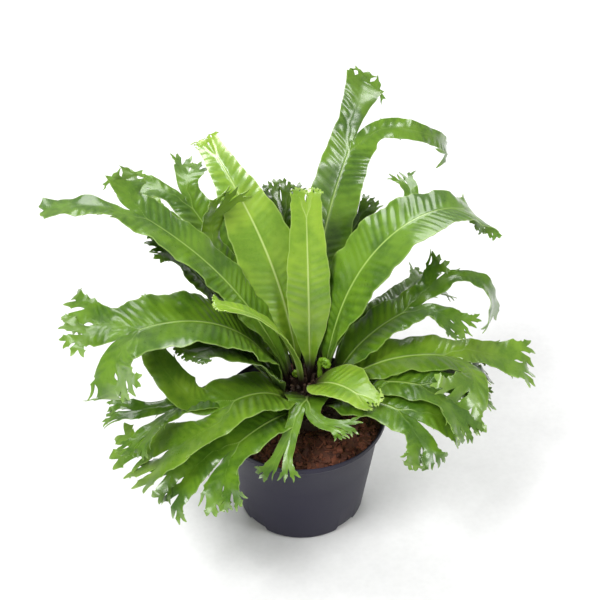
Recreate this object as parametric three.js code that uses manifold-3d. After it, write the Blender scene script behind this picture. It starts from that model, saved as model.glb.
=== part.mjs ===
// A crested bird's-nest fern growing in a round nursery pot.
//
// Millimetres, +Z up. The origin is the middle of the pot's underside, which rests on the table; +X is to
// the right and -Y is the front. Every frond is one closed sheet: a blade that rises from the crown, bends
// over and splits in two at its tip, and splits again.
import * as THREE from "three";
import { mergeVertices } from "three/addons/utils/BufferGeometryUtils.js";
import Module from "manifold-3d";

const wasm = await Module();
wasm.setup();

// ---------------------------------------------------------------- driving dimensions

const POT_HEIGHT = 121;
const POT_BASE_RADIUS = 63;
const POT_NECK_RADIUS = 79; // outside of the wall just under the rim
const POT_RIM_RADIUS = 85;
const RIM_HEIGHT = 13;
const RIM_FLARE = 8; // height over which the wall flares out to the rim
const WALL = 1.8;
const FLOOR = 2.4;
const FOOT_BEVEL = 2.5;

const NOTCH_COUNT = 4; // drain slots through the corner between wall and floor
const NOTCH_ANGLE = 24; // degrees of the base circle
const NOTCH_HEIGHT = 6;
const NOTCH_DEPTH = 9;

const SOIL_GAP = 0.4; // clearance between the root ball and the pot
const SOIL_BELOW_RIM = 9;
const SOIL_MOUND = 5; // rise from the pot's edge to the crown
const SOIL_LEVEL_RADIUS = 48; // the top is level out to here

const CROWN_X = 7;
const CROWN_Y = 8;
const CROWN_RADIUS = 36;
const CROWN_HEIGHT = 30;
const CROWN_DOMING = 0.85; // 0 is a flat top, 1 a half ellipse that comes down to the soil
const CROWN_GAP = 0.4; // clearance between the crown and the soil

const BLADE_THICKNESS = 1.0;
const STALK_THICKNESS = 3.0;
const STALK_SHARE = 0.4; // share of a frond's length over which it thins to the blade's thickness
const STALK_WIDTH = 6.5;
const STALK_FOLD = 36; // degrees that each half of the blade is folded up at its foot
const NECK_STARTS = 0.55; // share of a frond's length after which it narrows to its neck
const CREST_FOLD = 10; // the same on the lobes of a crest
const TIP_TAPER = 0.7; // share of its width that a last finger loses by its tip
const FOOT_GAP = 2.4; // clearance between a frond's foot and the crown

const CROZIER_RADIUS = 2.4;
const CROZIER_TURNS = 1.4;
const CROZIER_TIGHTENING = 0.8; // share of the coil's radius lost by its inner end
const CROZIER_TAPER = 0.5; // share of its thickness lost by there
const CROZIER_GAP = 2; // clearance between a crozier's foot and the crown

const POT_SIDES = 48;
const CROWN_SIDES = 24;
const BLADE_OPENS = 0.46; // share of a frond's length over which its blade widens to the full width
const BLADE_COLUMNS = 4; // halved at every fork
const BLADE_STEP = 24; // length of one row of the blade
const LOBE_STEP = 17;
const CROZIER_SIDES = 6;
const CROZIER_STRAIGHT_ROWS = 3;
const CROZIER_COIL_ROWS = 14;

const POT_COLOUR = 0x47444d;
const SOIL_COLOUR = 0x33201a;
const CROWN_COLOUR = 0x3a2417;
const LEAF_COLOUR = 0x3f7a22;
const YOUNG_COLOUR = 0x86b83f;

const soilEdge = POT_HEIGHT - SOIL_BELOW_RIM;
const soilTop = soilEdge + SOIL_MOUND;
const crownBase = soilTop + CROWN_GAP;

// ---------------------------------------------------------------- fronds
//
// foot    distance of the foot from the middle of the crown; place is its direction from there
// turn    heading from above, degrees from +X towards +Y
// rise    slope of the blade at its foot; fall is the slope at its fork
// hook    below 1 the blade bends early, above 1 late
// sweep   sideways turn along the blade; twist is the roll about its own length
// length  from the foot to the fork
// width   across the blade; neck is the share of it left at the fork
// open    share of the length over which the blade widens, where it isn't the usual one
// cup     fold of each half of the blade
// lobes   the left and the right half beyond the fork

// One lobe: it swings out by veer and down by dip over its length, and its width grows by the factor wide.
// It forks into the two lobes that follow, carries on as the one that follows, or ends in a tip.
function lobe(veer, dip, length, wide, ...lobes) {
  return { veer, dip, length, wide, lobes };
}

// A crest of two lobes that each split into two fingers.
function crest(reach, spread, droop, lean) {
  return [
    lobe(spread, droop, reach, 1.3,
      lobe(spread * 0.9, droop * 0.6, reach * 0.7, 1.1),
      lobe(spread * 0.8 + lean, droop, reach * 0.8, 1.1)),
    lobe(spread - lean, droop * 1.2, reach * 0.9, 1.3,
      lobe(spread * 0.7, droop * 0.7, reach * 0.8, 1.1),
      lobe(spread, droop * 0.5, reach * 0.7, 1.1)),
  ];
}

const LEAF = "leaf";
const YOUNG = "young";

const fronds = [
  // the tallest, at the back; half of its tip arches away to the right
  { name: "frond_01", age: LEAF, foot: 20, place: 76, turn: 101, rise: 75, fall: 48,
    hook: 1, sweep: -37, twist: 0,
    length: 246, width: 50, open: 0.62, neck: 0.8, cup: 10,
    lobes: [
      lobe(6, 8, 38, 1.6, lobe(10, 10, 28, 1.0), lobe(24, 5, 28, 0.9)),
      lobe(80, 20, 38, 0.7, lobe(0, 70, 116, 0.9)),
    ] },
  // young, upright in the middle
  { name: "frond_02", age: YOUNG, foot: 8, place: 80, turn: 94, rise: 80, fall: 62,
    hook: 1, sweep: 0, twist: 0,
    length: 184, width: 43, neck: 0.7, cup: 10,
    lobes: crest(9, 8, 8, 4) },
  // young, leaning back to the left
  { name: "frond_03", age: YOUNG, foot: 20, place: 124, turn: 110, rise: 78, fall: 30,
    hook: 1.5, sweep: 26, twist: -22,
    length: 252, width: 46, neck: 0.42, cup: 10,
    lobes: crest(9, 8, 8, 4) },
  // its crest spreads in front of its right-hand neighbour
  { name: "frond_04", age: LEAF, foot: 20, place: 146, turn: 147, rise: 64, fall: 52,
    hook: 1, sweep: 0, twist: 0,
    length: 166, width: 38, neck: 0.8, cup: 12,
    lobes: [
      lobe(30, 10, 34, 1.5, lobe(40, 15, 26, 1.1), lobe(20, 5, 30, 1.1)),
      lobe(26, -60, 26, 1.4, lobe(20, -20, 24, 1.1), lobe(44, -14, 28, 1.1)),
    ] },
  // long, with a narrow lobe reaching out to the left
  { name: "frond_05", age: LEAF, foot: 20, place: 172, turn: 172, rise: 78, fall: 30,
    hook: 1, sweep: 0, twist: 0,
    length: 250, width: 44, neck: 0.9, cup: 10,
    lobes: [
      lobe(12, 30, 50, 0.9, lobe(4, 10, 40, 0.9), lobe(25, 10, 25, 0.8)),
      lobe(40, 10, 22, 1.2, lobe(16, 10, 16, 0.9), lobe(20, 5, 16, 0.9)),
    ] },
  // behind the long left one
  { name: "frond_06", age: LEAF, foot: 30, place: 141, turn: 152, rise: 62, fall: 44,
    hook: 1, sweep: 0, twist: 0,
    length: 218, width: 34, neck: 0.8, cup: 12,
    lobes: crest(20, 24, 14, -6) },
  // under the long left one
  { name: "frond_07", age: LEAF, foot: 30, place: 159, turn: 175, rise: 62, fall: 38,
    hook: 1, sweep: 0, twist: 0,
    length: 160, width: 32, neck: 0.8, cup: 12,
    lobes: crest(20, 24, 14, 6) },
  // broad arch to the left with a hanging crest
  { name: "frond_08", age: LEAF, foot: 30, place: 189, turn: 201, rise: 86, fall: -14,
    hook: 1.15, sweep: 0, twist: 0,
    length: 234, width: 42, neck: 0.9, cup: 10,
    lobes: crest(32, 35, 25, 8) },
  // young and narrow, over the broad arch
  { name: "frond_09", age: YOUNG, foot: 8, place: 210, turn: 206, rise: 84, fall: 28,
    hook: 1.2, sweep: 0, twist: 0,
    length: 162, width: 20, neck: 0.8, cup: 14,
    lobes: crest(6, 16, 14, 4) },
  // under the broad arch
  { name: "frond_10", age: LEAF, foot: 30, place: 208, turn: 211, rise: 79, fall: 0,
    hook: 1.3, sweep: 0, twist: 0,
    length: 150, width: 36, neck: 0.8, cup: 12,
    lobes: crest(20, 26, 20, 4) },
  // slender, behind the broad arch
  { name: "frond_11", age: LEAF, foot: 30, place: 174, turn: 190, rise: 61, fall: 32,
    hook: 1, sweep: 0, twist: 0,
    length: 164, width: 20, neck: 0.8, cup: 12,
    lobes: crest(14, 16, 14, 4) },
  // low at the front left, with one half turned up
  { name: "frond_12", age: LEAF, foot: 30, place: 238, turn: 219, rise: 66, fall: -16,
    hook: 1, sweep: 0, twist: 0,
    length: 108, width: 38, neck: 1, cup: 10,
    lobes: [
      lobe(-8, 16, 44, 1.7, lobe(24, 20, 44, 1.1), lobe(4, -4, 46, 1.0)),
      lobe(46, -44, 36, 1.5, lobe(-4, -30, 48, 1.1, lobe(10, 0, 20, 1.0), lobe(14, 0, 24, 1.0))),
    ] },
  // lowest at the front left, hanging past the rim
  { name: "frond_13", age: LEAF, foot: 30, place: 258, turn: 234, rise: 36, fall: -14,
    hook: 1, sweep: -12, twist: 0,
    length: 112, width: 32, neck: 1, cup: 12,
    lobes: [
      lobe(20, 30, 34, 1.5, lobe(20, 30, 30, 1.0), lobe(20, 16, 34, 1.0)),
      lobe(26, 10, 44, 1.4, lobe(10, 20, 36, 1.0), lobe(20, 10, 36, 1.0)),
    ] },
  // short and forked, over the front of the soil
  { name: "frond_14", age: YOUNG, foot: 20, place: 270, turn: 268, rise: 70, fall: 5,
    hook: 0.8, sweep: 0, twist: 0,
    length: 26, width: 22, neck: 1, cup: 12,
    lobes: [
      lobe(60, 16, 34, 1.4, lobe(20, 20, 22, 1.1), lobe(24, 10, 24, 1.1)),
      lobe(14, 18, 40, 1.6, lobe(16, 20, 30, 1.1), lobe(16, 20, 34, 1.1)),
    ] },
  // young, short and blunt, front right
  { name: "frond_15", age: YOUNG, foot: 8, place: 285, turn: 316, rise: 56, fall: -8,
    hook: 1, sweep: -4, twist: 0,
    length: 84, width: 56, neck: 0.85, cup: 16,
    lobes: crest(6, 8, 8, 4) },
  // level to the right; half of its tip hangs down
  { name: "frond_16", age: LEAF, foot: 30, place: 351, turn: 4, rise: 86, fall: -14,
    hook: 0.55, sweep: 2, twist: 0,
    length: 158, width: 40, neck: 0.95, cup: 10,
    lobes: [
      lobe(6, -6, 50, 1.5, lobe(14, 6, 26, 0.9), lobe(20, 16, 26, 0.9)),
      lobe(74, 54, 46, 1.7, lobe(10, 20, 30, 1.1), lobe(24, 20, 34, 1.1)),
    ] },
  // broad arch up to the right with a nodding tip
  { name: "frond_17", age: LEAF, foot: 20, place: 31, turn: 28, rise: 81, fall: -50,
    hook: 1.7, sweep: 0, twist: 0,
    length: 266, width: 45, neck: 0.55, cup: 10,
    lobes: crest(9, 16, 12, 4) },
  // behind the broad right arch
  { name: "frond_18", age: LEAF, foot: 30, place: 53, turn: 54, rise: 82, fall: -10,
    hook: 1.2, sweep: 0, twist: 0,
    length: 215, width: 36, neck: 0.8, cup: 10,
    lobes: crest(18, 24, 14, 4) },
  // under the broad right arch, with an open crest
  { name: "frond_19", age: LEAF, foot: 30, place: 23, turn: 14, rise: 80, fall: 16,
    hook: 0.8, sweep: 0, twist: 0,
    length: 120, width: 32, neck: 0.9, cup: 12,
    lobes: crest(36, 40, 25, 4) },
  // low on the right
  { name: "frond_20", age: LEAF, foot: 30, place: 330, turn: 340, rise: 60, fall: -10,
    hook: 1, sweep: 0, twist: 0,
    length: 92, width: 36, neck: 1, cup: 10,
    lobes: crest(36, 34, 25, 8) },
  // low at the front right
  { name: "frond_21", age: LEAF, foot: 30, place: 300, turn: 314, rise: 52, fall: -20,
    hook: 1, sweep: 0, twist: 0,
    length: 96, width: 34, neck: 1, cup: 10,
    lobes: crest(26, 26, 18, 6) },
  // dark, beneath the level one
  { name: "frond_22", age: LEAF, foot: 30, place: 8, turn: 359, rise: 46, fall: -20,
    hook: 1, sweep: 0, twist: 0,
    length: 128, width: 34, neck: 0.9, cup: 10,
    lobes: crest(24, 30, 26, -6) },
  // behind the upright one
  { name: "frond_23", age: LEAF, foot: 30, place: 106, turn: 105, rise: 70, fall: 54,
    hook: 1, sweep: 0, twist: 0,
    length: 166, width: 34, neck: 0.8, cup: 10,
    lobes: crest(16, 24, 14, 4) },
  // behind the tallest, to the right
  { name: "frond_24", age: LEAF, foot: 30, place: 71, turn: 68, rise: 60, fall: 42,
    hook: 1, sweep: 0, twist: 0,
    length: 160, width: 34, neck: 0.8, cup: 10,
    lobes: crest(16, 24, 14, 4) },
  // low on the left, with a fan that lifts
  { name: "frond_28", age: LEAF, foot: 30, place: 224, turn: 208, rise: 44, fall: -8,
    hook: 1, sweep: 0, twist: 0,
    length: 120, width: 26, neck: 0.8, cup: 12,
    lobes: crest(32, 26, -6, 8) },
  // the back of the rosette
  { name: "frond_25", age: LEAF, foot: 30, place: 89, turn: 88, rise: 50, fall: -5,
    hook: 1, sweep: 0, twist: 0,
    length: 190, width: 40, neck: 0.8, cup: 10,
    lobes: crest(28, 30, 24, 4) },
  { name: "frond_26", age: LEAF, foot: 30, place: 126, turn: 122, rise: 44, fall: -15,
    hook: 1, sweep: 0, twist: 0,
    length: 180, width: 38, neck: 0.8, cup: 10,
    lobes: crest(28, 30, 24, -4) },
  { name: "frond_27", age: LEAF, foot: 30, place: 39, turn: 42, rise: 56, fall: -5,
    hook: 1, sweep: 0, twist: 0,
    length: 130, width: 36, neck: 0.8, cup: 10,
    lobes: crest(28, 30, 24, 4) },
];

// Young fronds still rolled up: a bare stalk that stands straight and coils over at its tip.
const croziers = [
  { name: "crozier_1", foot: 12, place: 22, turn: 330, height: 26, coil: 6 },
  { name: "crozier_2", foot: 9, place: 150, turn: 190, height: 10, coil: 4 },
];

// ---------------------------------------------------------------- making a closed sheet

// A frame travels along a blade: where it is, which way it runs, its left side and its upper side.
function turned(frame, veer, dip, roll) {
  const rotate = (vector, axis, angle) =>
    vector.clone().applyAxisAngle(axis, THREE.MathUtils.degToRad(angle));
  const veered = {
    ahead: rotate(frame.ahead, frame.up, veer),
    left: rotate(frame.left, frame.up, veer),
  };
  const ahead = rotate(veered.ahead, veered.left, dip);
  const left = rotate(veered.left, ahead, roll);
  const up = new THREE.Vector3().crossVectors(ahead, left).normalize();
  return { at: frame.at.clone(), ahead, left, up };
}

function advanced(frame, distance, veer, dip, roll) {
  const middle = turned(frame, veer / 2, dip / 2, roll / 2);
  middle.at.addScaledVector(middle.ahead, distance);
  return turned(middle, veer / 2, dip / 2, roll / 2);
}

// Adds one row of points across the blade, right edge first, and returns their numbers.
function addRow(sheet, frame, half, fold, thickness, columns) {
  const cos = Math.cos(THREE.MathUtils.degToRad(fold));
  const sin = Math.sin(THREE.MathUtils.degToRad(fold));
  const row = [];
  for (let column = 0; column <= columns; column++) {
    const across = (2 * column) / columns - 1;
    const point = frame.at.clone();
    point.addScaledVector(frame.left, across * half * cos);
    point.addScaledVector(frame.up, Math.abs(across) * half * sin);
    row.push(sheet.points.length);
    sheet.points.push(point);
    sheet.thickness.push(thickness);
  }
  return row;
}

function joinRows(sheet, back, front) {
  for (let i = 0; i + 1 < back.length; i++) {
    sheet.quads.push([back[i], front[i], front[i + 1], back[i + 1]]);
  }
}

// The two halves of a row carry on as two lobes that share the middle point.
function split(sheet, row, frame, half, fold, lobes) {
  const middle = (row.length - 1) / 2;
  const cos = Math.cos(THREE.MathUtils.degToRad(fold));
  const sin = Math.sin(THREE.MathUtils.degToRad(fold));
  for (const [index, side] of [1, -1].entries()) {
    const left = frame.left.clone().multiplyScalar(cos).addScaledVector(frame.up, side * sin);
    const at = frame.at.clone().addScaledVector(left, (side * half) / 2);
    const up = new THREE.Vector3().crossVectors(frame.ahead, left).normalize();
    const start = { at, ahead: frame.ahead.clone(), left, up };
    const part = side > 0 ? row.slice(middle) : row.slice(0, middle + 1);
    growLobe(sheet, part, start, half / 2, lobes[index], side);
  }
}

function growLobe(sheet, firstRow, start, startHalf, shape, side) {
  const columns = firstRow.length - 1;
  const forks = shape.lobes.length > 1 && columns > 1;
  const tip = !forks && shape.lobes.length !== 1;
  const rows = Math.max(2, Math.round(shape.length / LOBE_STEP));
  const fold = columns > 1 ? CREST_FOLD : 0;
  let frame = start;
  let row = firstRow;
  let half = startHalf;
  for (let i = 1; i <= rows; i++) {
    const along = i / rows;
    frame = advanced(frame, shape.length / rows, (side * shape.veer) / rows, shape.dip / rows, 0);
    const grown = startHalf * (1 + (shape.wide - 1) * along);
    half = tip ? grown * (1 - TIP_TAPER * along ** 3) : grown;
    const next = addRow(sheet, frame, half, fold * along, BLADE_THICKNESS, columns);
    joinRows(sheet, row, next);
    row = next;
  }
  if (shape.lobes.length === 1) {
    growLobe(sheet, row, frame, half, shape.lobes[0], side);
  } else if (forks) {
    split(sheet, row, frame, half, fold, shape.lobes);
  }
}

// Gives a sheet its thickness: an upper and a lower skin and a wall along every open edge.
function thicken(sheet) {
  const normals = sheet.points.map(() => new THREE.Vector3());
  for (const [a, b, c, d] of sheet.quads) {
    const first = sheet.points[c].clone().sub(sheet.points[a]);
    const second = sheet.points[d].clone().sub(sheet.points[b]);
    const normal = first.cross(second);
    for (const corner of [a, b, c, d]) {
      normals[corner].add(normal);
    }
  }
  const positions = [];
  for (const side of [0.5, -0.5]) {
    sheet.points.forEach((point, i) => {
      const shift = normals[i].clone().normalize().multiplyScalar(side * sheet.thickness[i]);
      positions.push(...point.clone().add(shift).toArray());
    });
  }
  const below = sheet.points.length;
  const faces = [];
  const edges = new Set();
  for (const [a, b, c, d] of sheet.quads) {
    faces.push(a, b, c, a, c, d);
    faces.push(below + a, below + c, below + b, below + a, below + d, below + c);
    for (const edge of [[a, b], [b, c], [c, d], [d, a]]) {
      edges.add(edge.join());
    }
  }
  for (const edge of edges) {
    const [a, b] = edge.split(",").map(Number);
    if (!edges.has([b, a].join())) {
      faces.push(b, a, below + a, b, below + a, below + b);
    }
  }
  const geometry = new THREE.BufferGeometry();
  geometry.setAttribute("position", new THREE.Float32BufferAttribute(positions, 3));
  geometry.setIndex(faces);
  return geometry;
}

// ---------------------------------------------------------------- the pieces

// Height of the crown's dome at a distance from its middle.
function crownHeight(distance) {
  const across = Math.min(1, distance / CROWN_RADIUS);
  return crownBase + CROWN_HEIGHT * Math.sqrt(1 - CROWN_DOMING * across ** 2);
}

function smooth(value) {
  const t = Math.min(1, Math.max(0, value));
  return t * t * (3 - 2 * t);
}

function frondGeometry(frond) {
  const heading = THREE.MathUtils.degToRad(frond.turn);
  const slope = THREE.MathUtils.degToRad(frond.rise);
  const ahead = new THREE.Vector3(
    Math.cos(slope) * Math.cos(heading),
    Math.cos(slope) * Math.sin(heading),
    Math.sin(slope),
  );
  const left = new THREE.Vector3(-Math.sin(heading), Math.cos(heading), 0);
  const place = THREE.MathUtils.degToRad(frond.place);
  const at = new THREE.Vector3(
    CROWN_X + frond.foot * Math.cos(place),
    CROWN_Y + frond.foot * Math.sin(place),
    crownHeight(frond.foot) + FOOT_GAP,
  );
  let frame = { at, ahead, left, up: new THREE.Vector3().crossVectors(ahead, left) };

  const sheet = { points: [], thickness: [], quads: [] };
  const rows = Math.max(4, Math.round(frond.length / BLADE_STEP));
  const slopeAt = (along) => frond.rise + (frond.fall - frond.rise) * along ** frond.hook;
  let row = null;
  let half = 0;
  for (let i = 0; i <= rows; i++) {
    const along = i / rows;
    if (i > 0) {
      const dip = slopeAt((i - 1) / rows) - slopeAt(along);
      frame = advanced(frame, frond.length / rows, frond.sweep / rows, dip, frond.twist / rows);
    }
    const opened = smooth(along / (frond.open ?? BLADE_OPENS));
    const narrowed = 1 - (1 - frond.neck) * smooth((along - NECK_STARTS) / (1 - NECK_STARTS));
    half = ((STALK_WIDTH + (frond.width - STALK_WIDTH) * opened) * narrowed) / 2;
    const fold = STALK_FOLD + (frond.cup - STALK_FOLD) * opened;
    const thickness = STALK_THICKNESS + (BLADE_THICKNESS - STALK_THICKNESS) * smooth(along / STALK_SHARE);
    const next = addRow(sheet, frame, half, fold, thickness, BLADE_COLUMNS);
    if (row) {
      joinRows(sheet, row, next);
    }
    row = next;
  }
  split(sheet, row, frame, half, frond.cup, frond.lobes);
  return thicken(sheet);
}

// A round stalk whose upper part winds inwards round the middle of its coil.
function crozierGeometry(crozier) {
  const place = THREE.MathUtils.degToRad(crozier.place);
  const heading = THREE.MathUtils.degToRad(crozier.turn);
  const outward = new THREE.Vector3(Math.cos(heading), Math.sin(heading), 0);
  const aside = new THREE.Vector3(-Math.sin(heading), Math.cos(heading), 0);
  const foot = new THREE.Vector3(
    CROWN_X + crozier.foot * Math.cos(place),
    CROWN_Y + crozier.foot * Math.sin(place),
    crownHeight(crozier.foot) + CROZIER_GAP,
  );
  const positions = [];
  const faces = [];
  const rings = CROZIER_STRAIGHT_ROWS + CROZIER_COIL_ROWS;
  for (let ring = 0; ring <= rings; ring++) {
    const winding = Math.max(0, ring - CROZIER_STRAIGHT_ROWS) / CROZIER_COIL_ROWS;
    const angle = 2 * Math.PI * CROZIER_TURNS * winding;
    const reach = crozier.coil * (1 - CROZIER_TIGHTENING * winding);
    const up = winding > 0
      ? crozier.height + reach * Math.sin(angle)
      : (crozier.height * ring) / CROZIER_STRAIGHT_ROWS;
    const out = crozier.coil - reach * Math.cos(angle);
    const side = new THREE.Vector3(0, 0, Math.sin(angle)).addScaledVector(outward, -Math.cos(angle));
    const radius = CROZIER_RADIUS * (1 - CROZIER_TAPER * winding);
    for (let corner = 0; corner < CROZIER_SIDES; corner++) {
      const around = (2 * Math.PI * corner) / CROZIER_SIDES;
      const point = foot.clone().addScaledVector(outward, out);
      point.z += up;
      point.addScaledVector(side, radius * Math.cos(around));
      point.addScaledVector(aside, radius * Math.sin(around));
      positions.push(...point.toArray());
      if (ring > 0) {
        const next = (corner + 1) % CROZIER_SIDES;
        const [a, b] = [ring * CROZIER_SIDES + corner, ring * CROZIER_SIDES + next];
        const [c, d] = [a - CROZIER_SIDES, b - CROZIER_SIDES];
        faces.push(c, a, b, c, b, d);
      }
    }
  }
  for (let corner = 1; corner + 1 < CROZIER_SIDES; corner++) {
    faces.push(0, corner, corner + 1);
    const last = rings * CROZIER_SIDES;
    faces.push(last, last + corner + 1, last + corner);
  }
  const geometry = new THREE.BufferGeometry();
  geometry.setAttribute("position", new THREE.Float32BufferAttribute(positions, 3));
  geometry.setIndex(faces);
  return geometry;
}

function turnedBody(profile, sides) {
  const geometry = new THREE.LatheGeometry(profile.map(([r, z]) => new THREE.Vector2(r, z)), sides);
  geometry.rotateX(Math.PI / 2);
  return geometry;
}

function toSolid(geometry) {
  const bare = geometry.clone();
  bare.deleteAttribute("normal");
  bare.deleteAttribute("uv");
  const merged = mergeVertices(bare, 1e-4);
  return new wasm.Manifold(new wasm.Mesh({
    numProp: 3,
    vertProperties: new Float32Array(merged.attributes.position.array),
    triVerts: new Uint32Array(merged.index.array),
  }));
}

function toGeometry(solid) {
  const mesh = solid.getMesh();
  const geometry = new THREE.BufferGeometry();
  geometry.setAttribute("position", new THREE.Float32BufferAttribute(mesh.vertProperties, 3));
  geometry.setIndex([...mesh.triVerts]);
  return geometry;
}

// Outside radius of the pot's wall at a height below the rim's flare.
const neckHeight = POT_HEIGHT - RIM_HEIGHT;

function wallRadius(height) {
  return POT_BASE_RADIUS + ((POT_NECK_RADIUS - POT_BASE_RADIUS) * height) / neckHeight;
}

function potGeometry() {
  const flared = neckHeight + RIM_FLARE;
  const lip = WALL / 3;
  const profile = [
    [0, 0],
    [POT_BASE_RADIUS - FOOT_BEVEL, 0],
    [wallRadius(FOOT_BEVEL), FOOT_BEVEL],
    [POT_NECK_RADIUS, neckHeight],
    [POT_RIM_RADIUS, flared],
    [POT_RIM_RADIUS, POT_HEIGHT - lip],
    [POT_RIM_RADIUS - lip, POT_HEIGHT],
    [POT_RIM_RADIUS - WALL + lip, POT_HEIGHT],
    [POT_RIM_RADIUS - WALL, POT_HEIGHT - lip],
    [POT_RIM_RADIUS - WALL, flared],
    [POT_NECK_RADIUS - WALL, neckHeight],
    [wallRadius(FLOOR) - WALL, FLOOR],
    [0, FLOOR],
  ];
  let pot = toSolid(turnedBody(profile, POT_SIDES));
  const sector = new THREE.Shape();
  const halfAngle = THREE.MathUtils.degToRad(NOTCH_ANGLE / 2);
  const outside = POT_BASE_RADIUS + NOTCH_DEPTH;
  const inside = POT_BASE_RADIUS - NOTCH_DEPTH;
  sector.moveTo(inside * Math.cos(halfAngle), -inside * Math.sin(halfAngle));
  sector.lineTo(outside * Math.cos(halfAngle), -outside * Math.sin(halfAngle));
  sector.lineTo(outside * Math.cos(halfAngle), outside * Math.sin(halfAngle));
  sector.lineTo(inside * Math.cos(halfAngle), inside * Math.sin(halfAngle));
  for (let i = 0; i < NOTCH_COUNT; i++) {
    const notch = new THREE.ExtrudeGeometry(sector, { depth: NOTCH_HEIGHT + 1, bevelEnabled: false });
    notch.translate(0, 0, -1);
    notch.rotateZ(((i + 0.5) * 2 * Math.PI) / NOTCH_COUNT);
    pot = pot.subtract(toSolid(notch));
  }
  return toGeometry(pot);
}

function soilGeometry() {
  const below = neckHeight;
  const top = soilEdge;
  const atTop = POT_NECK_RADIUS
    + ((POT_RIM_RADIUS - POT_NECK_RADIUS) * (top - below)) / RIM_FLARE;
  const gap = WALL + SOIL_GAP;
  const floor = FLOOR + SOIL_GAP;
  const profile = [
    [0, floor],
    [wallRadius(floor) - gap, floor],
    [POT_NECK_RADIUS - gap, below],
    [atTop - gap, top],
    [SOIL_LEVEL_RADIUS, soilTop],
    [0, soilTop],
  ];
  return turnedBody(profile, POT_SIDES);
}

function crownGeometry() {
  const profile = [[0, crownBase], [CROWN_RADIUS, crownBase]];
  for (const distance of [1, 0.85, 0.6, 0.3]) {
    profile.push([CROWN_RADIUS * distance, crownHeight(CROWN_RADIUS * distance)]);
  }
  profile.push([0, crownHeight(0)]);
  const geometry = turnedBody(profile, CROWN_SIDES);
  geometry.translate(CROWN_X, CROWN_Y, 0);
  return geometry;
}

function piece(name, geometry, colour, roughness) {
  const material = new THREE.MeshStandardMaterial({ color: colour, roughness, metalness: 0 });
  const mesh = new THREE.Mesh(geometry, material);
  mesh.name = name;
  return mesh;
}

const group = new THREE.Group();
group.name = "potted_fern";
group.add(piece("pot", potGeometry(), POT_COLOUR, 0.5));
group.add(piece("soil", soilGeometry(), SOIL_COLOUR, 0.95));
group.add(piece("crown", crownGeometry(), CROWN_COLOUR, 0.9));
for (const frond of fronds) {
  const colour = frond.age === YOUNG ? YOUNG_COLOUR : LEAF_COLOUR;
  group.add(piece(frond.name, frondGeometry(frond), colour, 0.4));
}
for (const crozier of croziers) {
  group.add(piece(crozier.name, crozierGeometry(crozier), YOUNG_COLOUR, 0.6));
}

export default group;
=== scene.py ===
"""A crested bird's-nest fern in its nursery pot: pot, potting mix, crown, fronds and croziers.

Metres, +Z up, in the part's own frame. The frond table is in millimetres and degrees, as a grower would
measure a plant, and is turned into metres as each frond grows.
"""
import math
import random

import bmesh
import bpy
import numpy as np
from bpy.props import FloatProperty, FloatVectorProperty, IntProperty, PointerProperty
from mathutils import Matrix, Vector


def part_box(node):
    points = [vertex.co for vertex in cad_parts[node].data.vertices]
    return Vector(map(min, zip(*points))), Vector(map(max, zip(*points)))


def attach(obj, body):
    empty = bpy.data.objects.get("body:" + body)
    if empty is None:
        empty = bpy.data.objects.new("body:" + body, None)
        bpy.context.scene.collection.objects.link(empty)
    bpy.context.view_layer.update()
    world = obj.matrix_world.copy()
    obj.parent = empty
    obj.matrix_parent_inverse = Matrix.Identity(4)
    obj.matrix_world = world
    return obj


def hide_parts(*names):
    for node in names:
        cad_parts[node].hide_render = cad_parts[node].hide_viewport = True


bl_info = {
    "name": "Potted Fern",
    "version": (1, 0, 0),
    "blender": (4, 5, 0),
    "location": "View3D > Sidebar > Fern",
    "description": "Makes a crested bird's-nest fern in a round nursery pot",
    "category": "Object",
}

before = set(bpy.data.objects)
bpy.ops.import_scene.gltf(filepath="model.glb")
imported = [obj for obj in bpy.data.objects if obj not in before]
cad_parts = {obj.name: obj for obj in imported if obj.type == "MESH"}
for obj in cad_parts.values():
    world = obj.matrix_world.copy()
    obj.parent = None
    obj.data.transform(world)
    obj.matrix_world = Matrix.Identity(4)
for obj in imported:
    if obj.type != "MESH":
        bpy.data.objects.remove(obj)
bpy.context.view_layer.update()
POT_LOW, POT_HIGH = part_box("pot")
SOIL_LOW, SOIL_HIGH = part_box("soil")
CROWN_LOW, CROWN_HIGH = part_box("crown")

MM = 0.001
BODY = "root"

LEAF = "leaf"
YOUNG = "young"
# deep is a darker copy of a green: painted shade for fronds that lie under and behind other fronds
SHADED, GREEN, FRESH, PALE = "deep", "green", "fresh", "pale"


# ---------------------------------------------------------------- the plant's table
#
# foot    distance of the foot from the middle of the crown; place is its direction from there
# turn    heading from above, degrees from +X towards +Y
# rise    slope of the blade at its foot; fall is the slope at its fork
# hook    below 1 the blade bends early, above 1 late
# sweep   sideways turn along the blade; twist is the roll about its own length
# length  from the foot to the fork
# width   across the blade; neck is the share of it left at the fork
# cup     fold of each half of the blade
# opens   share of the length over which the blade widens
# comb    columns of points across the blade; a crest has half as many teeth
# tone    which green it is; deep is painted shade, a darker copy for fronds under and behind others; full is how much wider the blade is than its solid
# lobes   the left and the right half beyond the fork


def lobe(veer, dip, length, wide, *lobes):
    """Swings out by veer and down by dip over its length, and widens by the factor wide."""
    return {"veer": veer, "dip": dip, "length": length, "wide": wide, "lobes": lobes}


def blunt(veer, dip, length, wide):
    """A lobe that ends in a short ragged edge instead of fingers."""
    return {"veer": veer, "dip": dip, "length": length, "wide": wide, "lobes": (), "comb": 5}


def nibs(reach):
    """The blunt end of a young frond."""
    return blunt(4, 8, reach, 1.05), blunt(4, 8, reach, 1.05)


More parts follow.
